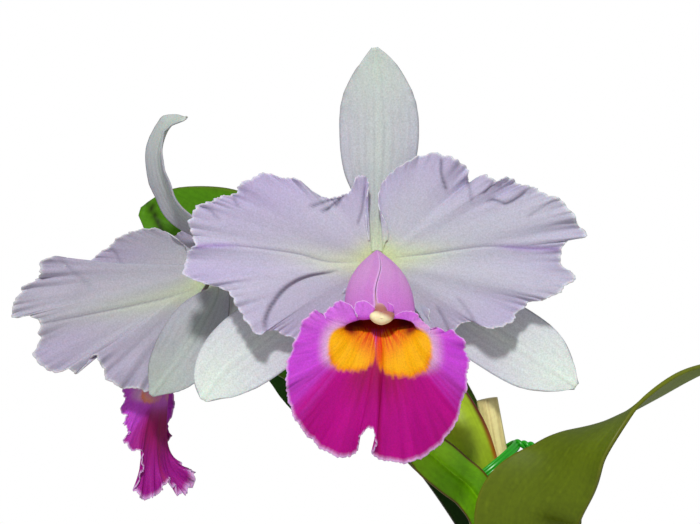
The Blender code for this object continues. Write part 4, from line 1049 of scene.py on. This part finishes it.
def make_stems(look):
    """The flower stem to the second bloom and the branch to the first."""
    stems = (("flower_stem", FLOWER_STEM, BLOOM_2, BACK_2), ("pedicel_1", PEDICEL_1, BLOOM_1, BACK_1))
    for name, stations, centre, back in stems:
        route = list(map(tuple, smooth_path(stations, RINGS[name])))
        back = unit(np.array(back, float))
        behind = RECEPTACLE_FRONT + RECEPTACLE_LENGTH
        for depth, swell in ((behind + SHOULDER, 0.8), (behind, 1), (RECEPTACLE_FRONT, 1)):
            route.append((*(np.array(centre, float) + back * depth), RECEPTACLE_RADIUS * swell))
        grid = swept(smooth_path(route, len(route) + RINGS["stem_end"]), SIDES["stem"])
        tan = smooth(0.45, 0.9, np.linspace(0, 1, len(grid)))[:, None] * 0.6
        tint = dye(plain_tint(grid, STEM_GREEN), STEM_TAN, tan)
        add_grid(name, grid, tint, tube_flow(grid, 3, 120), [look], True)


def make_rhizome(look):
    """The creeping stem on the bark, with its leaf scars."""
    count = RINGS["rhizome"]
    height = BARK_TOP + GAP + RHIZOME_RADIUS
    path = smooth_path([(x, y, height, RHIZOME_RADIUS) for x, y in RHIZOME], count)
    scars = np.maximum(0, np.cos(np.linspace(0, math.tau * RHIZOME_SCARS, count))) ** 6
    path[:, 3] *= 1 + 0.08 * scars
    grid = swept(rounded(path), SIDES["rhizome"])
    flow = tube_flow(grid, 5, 100)
    add_grid("rhizome", grid, plain_tint(grid, RHIZOME_BROWN), flow, [look], True)


def make_roots(look):
    """The pale roots from the rhizome, which run over the bark and go down into it."""
    height = BARK_TOP + GAP + RHIZOME_RADIUS
    run = BARK_TOP + GAP + ROOT_RADIUS + 1.5
    for number, ((ax, ay), (bx, by), (cx, cy)) in enumerate(ROOTS, 1):
        rng = np.random.default_rng(SEEDS["root"] + number)
        near = cx - (cx - bx) * 0.25, cy - (cy - by) * 0.25
        route = [(ax, ay, height - 1), (bx, by, run + 1), (*near, run), (cx, cy, run - 3),
                 (cx, cy, BARK_TOP - HOLE_DEPTH)]
        path = smooth_path([(*place, ROOT_RADIUS) for place in route], RINGS["root"])
        path[:, 3] *= 1 + 0.06 * swings(12, RINGS["root"], rng)
        grid = swept(path, SIDES["root"])
        tint = dye(plain_tint(grid, ROOT_PALE), ROOT_GREEN, shares(9, len(grid), rng)[:, None])
        add_grid(f"root_{number}", grid, tint, tube_flow(grid, 2, 50), [look], True)


def make_stake(look):
    """A split cane with grooved grain and a sawn top."""
    rows, sides = RINGS["stake"], SIDES["stake"]
    part = (BARK_TOP - STAKE_HOLE_DEPTH - STAKE_FOOT[2]) / (STAKE_TOP[2] - STAKE_FOOT[2])
    foot = np.array([a + (b - a) * part for a, b in zip(STAKE_FOOT, STAKE_TOP)])
    path = [(*(foot + (np.array(STAKE_TOP) - foot) * s), STAKE_RADIUS) for s in np.linspace(0, 1, rows)]
    grooves = np.abs(swings(26, sides, np.random.default_rng(SEEDS["stake"]))) ** 2
    angle = np.linspace(0, math.tau, sides, endpoint=False)
    shape = np.ones((rows, 1)) * (1 - 0.07 * grooves[None] - 0.02 * np.cos(3 * angle)[None])
    grid = swept(path, sides, shape)
    tint = dye(plain_tint(grid, CANE_PALE), CANE_GROOVE, 0.45 * grooves[None])
    add_grid("stake", grid, tint, tube_flow(grid, STAKE_RADIUS, 250), [look], True)


def make_tie(look):
    """A green coated tie of three wires side by side, its ends twisted together."""
    rise = math.radians(TIE_RISE)
    angle = np.linspace(0, math.tau, RINGS["tie"], endpoint=False)
    out = TIE_HALF_LENGTH * np.cos(angle)
    centre = np.stack([TIE_CENTRE[0] + out * math.cos(rise), TIE_CENTRE[1] + TIE_HALF_DEPTH * np.sin(angle),
                       TIE_CENTRE[2] + out * math.sin(rise)], 1)
    up = np.array((-math.sin(rise), 0, math.cos(rise)))
    outward = unit(centre - np.array(TIE_CENTRE))
    section = np.linspace(0, math.tau, SIDES["tie"], endpoint=False)
    wide = TIE_BAND_HALF * np.cos(section)
    thick = TIE_WIRE_RADIUS * np.sin(section) * (1 + 0.35 * np.cos(3 * math.pi * np.cos(section)))
    ring = centre[:, None] + wide[None, :, None] * up + thick[None, :, None] * outward[:, None]
    ring = np.concatenate([ring, ring[:1]])
    add_grid("tie", ring, plain_tint(ring, TIE_GREEN), 0 * ring, [look], True)
    x, y, z = centre[0]
    for number, lean in enumerate((1, -1), 1):
        place = []
        for t in np.linspace(0, 1, RINGS["tie_end"]):
            bow = math.tau * TIE_TWISTS * t
            place.append((x - 1 + 9 * t, y - 3 * t + lean * math.cos(bow) * (1 - 0.3 * t),
                          z + 0.5 + lean * math.sin(bow) - 1.5 * t, TIE_END_RADIUS))
        grid = swept(rounded(place), SIDES["tie_end"])
        add_grid(f"tie_end_{number}", grid, plain_tint(grid, TIE_GREEN), 0 * grid, [look], True)


# Pot and bark


def pot_inner_radius(height):
    slope = (POT_RIM_RADIUS - POT_FOOT_RADIUS) / POT_HEIGHT
    return POT_FOOT_RADIUS - POT_WALL + slope * height


def lathe(profile, sides, wobble):
    """A profile of radius and height turned about Z, a little uneven as thrown clay is."""
    profile = np.array(profile, float)
    angle = np.linspace(0, math.tau, sides, endpoint=False)
    uneven = 1 + wobble * np.cos(2 * angle + 0.6)
    radius = profile[:, :1] * uneven[None]
    return np.stack([radius * np.cos(angle), radius * np.sin(angle), profile[:, 1:] * np.ones(sides)], -1)


def eased(profile, radius=1.2, steps=4):
    """The profile with each of its corners rounded and its long runs cut up."""
    points = [np.array(p, float) for p in profile]
    found = [points[0]]
    for before, corner, after in zip(points, points[1:], points[2:]):
        cut = min(radius, 0.4 * np.linalg.norm(before - corner), 0.4 * np.linalg.norm(after - corner))
        start = corner + unit(before - corner) * cut
        end = corner + unit(after - corner) * cut
        for t in np.linspace(0, 1, steps):
            found.append(start * (1 - t) ** 2 + corner * 2 * t * (1 - t) + end * t**2)
    found.append(points[-1])
    dense = [found[0]]
    for a, b in zip(found, found[1:]):
        pieces = max(1, int(np.linalg.norm(b - a) / 3))
        dense += [a + (b - a) * (i + 1) / pieces for i in range(pieces)]
    return dense


def make_pot(look):
    """A plain clay pot with a banded rim."""
    sides = SIDES["pot"]
    band_foot = POT_HEIGHT - POT_RIM_BAND
    band_radius = POT_RIM_RADIUS - POT_RIM_STEP
    wall_radius = pot_inner_radius(band_foot) + POT_WALL - POT_RIM_STEP
    profile = eased([
        (0, POT_FLOOR), (pot_inner_radius(POT_FLOOR), POT_FLOOR),
        (pot_inner_radius(POT_HEIGHT), POT_HEIGHT), (POT_RIM_RADIUS + 0.8, POT_HEIGHT),
        (POT_RIM_RADIUS + 1, POT_HEIGHT - 2), (band_radius + 2, band_foot + 2),
        (band_radius + 0.5, band_foot), (wall_radius, band_foot - 1.5),
        (POT_FOOT_RADIUS - 1, 2), (POT_FOOT_RADIUS - 3, 0), (0, 0),
    ])
    grid = lathe(profile, sides, POT_WOBBLE)
    height = grid[..., 2]
    rng = np.random.default_rng(SEEDS["pot"])
    bloom = smooth(38, 0, height) * shares(21, sides, rng)
    bloom = bloom + 0.6 * smooth(0.3, 1, np.sin(height / 5 + swings(9, sides, rng))) * (height > band_foot)
    tint = dye(plain_tint(grid, CLAY), CLAY_BLOOM, np.clip(0.45 * bloom, 0, 1))
    flow = flow_grid(np.linspace(0, 430, sides) * 0.1, height)
    add_grid("pot", grid[::-1], tint[::-1], flow[::-1], [look], True)


def make_bark(look):
    """The potting mix: its surface, and loose bark chips heaped on it up to the rim."""
    top = pot_inner_radius(BARK_TOP) - GAP
    foot = pot_inner_radius(POT_FLOOR + GAP) - GAP
    profile = [(0, POT_FLOOR + GAP), (foot, POT_FLOOR + GAP), (top, BARK_TOP - 5), (0, BARK_TOP - 4)]
    grid = lathe(eased(profile), SIDES["bark"], 0)
    add_grid("bark_mix", grid, plain_tint(grid, BARK_DARK), 0 * grid, [look], True)
    rng = random.Random(SEEDS["bark"])
    points, faces, tints, flows = [], [], [], []
    for _ in range(BARK_CHIPS_SHOWN):
        angle = rng.uniform(0, math.tau)
        radius = (top - 6) * math.sqrt(rng.random())
        size = Vector([rng.uniform(*span) for span in CHIP_HALF_SIZES])
        turn = Euler((rng.uniform(-0.5, 0.5), rng.uniform(-0.5, 0.5), rng.uniform(0, math.tau))).to_matrix()
        height = BARK_TOP - 3.2 + rng.uniform(-2, 3.4)
        place = Vector((radius * math.cos(angle), radius * math.sin(angle), height))
        add_chip(points, faces, tints, flows, place, turn, size, top - 0.5, rng)
    mesh = bpy.data.meshes.new("bark_chips")
    mesh.from_pydata([tuple(p * MM for p in point) for point in points], [], faces)
    add_attributes(mesh, np.array(tints), np.array(flows))
    add_piece("bark_chips", mesh, [look])


def add_chip(points, faces, tints, flows, place, turn, size, edge, rng):
    """One chip: a rough block whose corners are broken and whose faces are split along the grain."""
    shade = linear([rng.uniform(*span) for span in CHIP_COLOURS])
    layers = {}
    index = {}
    for cell in itertools.product(*map(range, CHIP_CUTS)):
        spot = Vector([c / (cuts - 1) * 2 - 1 for c, cuts in zip(cell, CHIP_CUTS)])
        outer = sum(abs(c) > 0.99 for c in spot)
        if not outer:
            continue
        pull = CHIP_PULLS[outer] * (1 + rng.uniform(-0.07, 0.07))
        local = Vector([c * s * pull for c, s in zip(spot, size)])
        local.z += layers.setdefault(cell[1], rng.uniform(-0.4, 0.4))
        world = place + turn @ local
        reach = math.hypot(world.x, world.y)
        if reach > edge:
            world.x *= edge / reach
            world.y *= edge / reach
        index[cell] = len(points)
        points.append(world)
        tints.append(shade * rng.uniform(0.8, 1.2))
        flows.append((local.y * 2.2, local.x * 0.25, local.z))
    faces.extend(chip_faces(index))


def chip_faces(index):
    """The quads of a chip's six sides, all facing outward."""
    faces = []
    for axis, cuts in enumerate(CHIP_CUTS):
        first, second = [other for other in range(3) if other != axis]
        spans = range(CHIP_CUTS[first] - 1), range(CHIP_CUTS[second] - 1)
        for end in (0, cuts - 1):
            for a, b in itertools.product(*spans):
                quad = []
                for da, db in ((0, 0), (1, 0), (1, 1), (0, 1)):
                    cell = {axis: end, first: a + da, second: b + db}
                    quad.append(index[cell[0], cell[1], cell[2]])
                faces.append(quad if (axis != 1) == (end > 0) else quad[::-1])
    return faces


# Materials


def add_node(tree, kind, **inputs):
    """A shader node, its inputs set to values or joined to other nodes."""
    made = tree.nodes.new(kind)
    for key, value in inputs.items():
        socket = made.inputs[key.replace("_", " ")]
        if isinstance(value, bpy.types.NodeSocket):
            tree.links.new(value, socket)
        else:
            socket.default_value = value
    return made


def attribute_node(tree, name):
    made = tree.nodes.new("ShaderNodeAttribute")
    made.attribute_name = name
    return made


def math_node(tree, operation, first, second):
    made = tree.nodes.new("ShaderNodeMath")
    made.operation = operation
    tree.links.new(first, made.inputs[0])
    tree.links.new(second, made.inputs[1])
    return made.outputs[0]


def noise(tree, place, scale, detail):
    made = add_node(tree, "ShaderNodeTexNoise", Vector=place, Scale=scale, Detail=detail)
    return made.outputs["Fac"]


def around_one(tree, value, amount):
    """A noise's usual range, moved to one of that amount to both sides of 1."""
    made = add_node(tree, "ShaderNodeMapRange", Value=value, From_Min=0.3, From_Max=0.7,
                    To_Min=1 - amount, To_Max=1 + amount)
    return made.outputs["Result"]


def skin(name, roughness, streak, streak_scale, grain, grain_scale, bump, attribute="tint", **constants):
    """A material that takes its colour from the mesh, streaked along the flow and finely grained."""
    look = bpy.data.materials.new(name)
    look.use_nodes = True
    tree = look.node_tree
    shader = tree.nodes["Principled BSDF"]
    shader.inputs["Roughness"].default_value = roughness
    for socket, value in constants.items():
        shader.inputs[socket.replace("_", " ")].default_value = value
    tint = attribute_node(tree, attribute)
    flow = attribute_node(tree, "flow")
    place = tree.nodes.new("ShaderNodeTexCoord")
    streaks = noise(tree, flow.outputs["Vector"], streak_scale, 3.0)
    grains = noise(tree, place.outputs["Object"], grain_scale, 2.0)
    both = math_node(tree, "MULTIPLY", around_one(tree, streaks, streak), around_one(tree, grains, grain))
    scaled = tree.nodes.new("ShaderNodeVectorMath")
    scaled.operation = "SCALE"
    tree.links.new(tint.outputs["Color"], scaled.inputs[0])
    tree.links.new(both, scaled.inputs["Scale"])
    tree.links.new(scaled.outputs[0], shader.inputs["Base Color"])
    height = math_node(tree, "ADD", streaks, grains)
    relief = add_node(tree, "ShaderNodeBump", Height=height, Strength=1.0, Distance=bump * MM)
    tree.links.new(relief.outputs["Normal"], shader.inputs["Normal"])
    return look


def skins():
    """Every material of the plant, by name."""
    soft = {"Subsurface_Weight": 0.2, "Subsurface_Scale": 0.001, "Specular_IOR_Level": 0.15}
    return {
        "petal": skin("lilac_petal", 0.7, 0.03, 0.9, 0.10, 1500, 0.06, **soft),
        "sepal": skin("pale_sepal", 0.7, 0.03, 0.7, 0.11, 1500, 0.06, **soft),
        "lip": skin("velvet_lip", 0.6, 0.10, 1.0, 0.10, 1500, 0.05, **soft),
        "lip_back": skin("pink_lip_back", 0.6, 0.04, 1.0, 0.08, 1500, 0.05, attribute="back", **soft),
        "column": skin("waxy_column", 0.4, 0.04, 0.5, 0.05, 900, 0.03, **soft),
        "leaf": skin("leathery_leaf", 0.42, 0.07, 0.8, 0.08, 500, 0.05, Specular_IOR_Level=0.22),
        "leaf_back": skin("leaf_back", 0.55, 0.07, 0.8, 0.08, 500, 0.05, Specular_IOR_Level=0.2),
        "stem": skin("waxy_stem", 0.4, 0.05, 0.6, 0.06, 700, 0.03),
        "bulb": skin("furrowed_bulb", 0.45, 0.10, 0.6, 0.08, 400, 0.08),
        "sheath": skin("papery_sheath", 0.7, 0.22, 1.1, 0.12, 600, 0.12),
        "rhizome": skin("woody_rhizome", 0.75, 0.20, 0.8, 0.2, 400, 0.25),
        "root": skin("velamen_root", 0.8, 0.08, 0.8, 0.12, 900, 0.08),
        "spathe": skin("waxy_spathe", 0.38, 0.07, 0.6, 0.08, 500, 0.04, Specular_IOR_Level=0.25),
        "clay": skin("unglazed_clay", 0.88, 0.07, 0.25, 0.10, 700, 0.12),
        "bark": skin("rough_bark", 0.9, 0.30, 0.8, 0.2, 500, 0.5),
        "cane": skin("dry_cane", 0.55, 0.12, 0.9, 0.06, 600, 0.06),
        "tie": skin("coated_tie", 0.3, 0.02, 0.5, 0.05, 300, 0.02),
    }


# Stage


def make_floor():
    mesh = bpy.data.meshes.new("floor")
    turns = [i / FLOOR_SIDES * math.tau for i in range(FLOOR_SIDES)]
    ring = [(FLOOR_RADIUS * math.cos(turn), FLOOR_RADIUS * math.sin(turn), 0) for turn in turns]
    mesh.from_pydata(ring, [], [tuple(range(FLOOR_SIDES))])
    floor = bpy.data.objects.new("floor", mesh)
    bpy.context.scene.collection.objects.link(floor)
    look = bpy.data.materials.new("pale_floor")
    look.use_nodes = True
    shader = look.node_tree.nodes["Principled BSDF"]
    shader.inputs["Base Color"].default_value = FLOOR_COLOUR
    shader.inputs["Roughness"].default_value = FLOOR_ROUGHNESS
    mesh.materials.append(look)


def make_surround():
    """White where the camera sees it, and a soft pale light on the plant."""
    world = bpy.data.worlds.new("surround")
    bpy.context.scene.world = world
    world.use_nodes = True
    tree = world.node_tree
    seen = tree.nodes["Background"]
    seen.inputs["Strength"].default_value = 1.0
    seen.inputs["Color"].default_value = (1, 1, 1, 1)
    lighting = add_node(tree, "ShaderNodeBackground", Color=FILL_COLOUR, Strength=FILL_STRENGTH)
    path = tree.nodes.new("ShaderNodeLightPath")
    both = tree.nodes.new("ShaderNodeMixShader")
    tree.links.new(path.outputs["Is Camera Ray"], both.inputs[0])
    tree.links.new(lighting.outputs[0], both.inputs[1])
    tree.links.new(seen.outputs[0], both.inputs[2])
    tree.links.new(both.outputs[0], tree.nodes["World Output"].inputs["Surface"])


def make_key():
    """One key light, high in front of the main bloom."""
    lamp = bpy.data.lights.new("key", "AREA")
    lamp.shape = "DISK"
    lamp.size = KEY_SIZE
    lamp.energy = KEY_POWER
    key = bpy.data.objects.new("key", lamp)
    target = Vector(CAMERA_PLACE) * Vector((1, 0, 1))
    key.location = target + Vector(KEY_WAY).normalized() * KEY_DISTANCE
    key.rotation_euler = (target - key.location).to_track_quat("-Z", "Y").to_euler()
    bpy.context.scene.collection.objects.link(key)


def make_camera():
    camera = bpy.data.cameras.new("camera")
    camera.lens = CAMERA_LENS
    camera.sensor_width = CAMERA_SENSOR
    holder = bpy.data.objects.new("camera", camera)
    holder.location = CAMERA_PLACE
    holder.rotation_euler = (math.pi / 2, 0, 0)
    bpy.context.scene.collection.objects.link(holder)
    bpy.context.scene.camera = holder
    bpy.context.scene.view_settings.view_transform = "Standard"


def make_bloom(number, centre, back, shapes, lip, tube, zones, looks):
    """One bloom: its petals and sepals, its lip, and the column with its cap."""
    centre = np.array(centre, float)
    axes = bloom_axes(back)
    for order, (kind, (form, side, points, copied, *more)) in enumerate(shapes.items()):
        name = f"bloom_{number}_{kind}"
        seed = SEEDS["bloom"] * number + order
        if form == "petal":
            make_petal(name, centre, axes, side, points, copied, *more, looks["petal"], seed)
        else:
            way = (0, 1) if side == 0 else (side * SIDE_SEAT[0], SIDE_SEAT[1])
            make_sepal(name, centre, axes, way, points, copied, *more, looks["sepal"], seed)
    make_lip(number, centre, axes, tube, lip, zones, looks["lip"], looks["lip_back"], SEEDS["lip"] + number)
    make_column(number, centre, axes, tube, looks["column"])
    make_cap(number, centre, axes, tube, looks["column"])


def main():
    make_floor()
    make_surround()
    make_key()
    make_camera()
    looks = skins()
    make_bloom(1, BLOOM_1, BACK_1, SHAPES_1, LIP_1, LIP_TUBE_1, LIP_ZONES_1, looks)
    make_bloom(2, BLOOM_2, BACK_2, SHAPES_2, LIP_2, LIP_TUBE_2, LIP_ZONES_2, looks)
    two_sides = [looks["leaf"], looks["leaf_back"]]
    for number, stations in enumerate((LEAF_1, LEAF_2, LEAF_3, LEAF_4), 1):
        make_leaf(f"leaf_{number}", stations, LEAF_THICKNESS, LEAF_COLOURS[number], two_sides,
                  SEEDS["leaf"] + number, rib=LEAF_RIBS[number], shaded_fold=LEAF_FOLDS.get(number))
    make_leaf("bract", BRACT, BRACT_THICKNESS, BRACT_COLOURS, [looks["spathe"]] * 2, SEEDS["bract"],
              edge_tint=0.85)
    make_stems(looks["stem"])
    make_spathe(looks["spathe"])
    for number, (foot, top) in enumerate(BULBS, 1):
        make_bulb(number, foot, top, looks["bulb"], looks["sheath"])
    make_rhizome(looks["rhizome"])
    make_roots(looks["root"])
    make_pot(looks["clay"])
    make_bark(looks["bark"])
    make_stake(looks["cane"])
    make_tie(looks["tie"])


main()
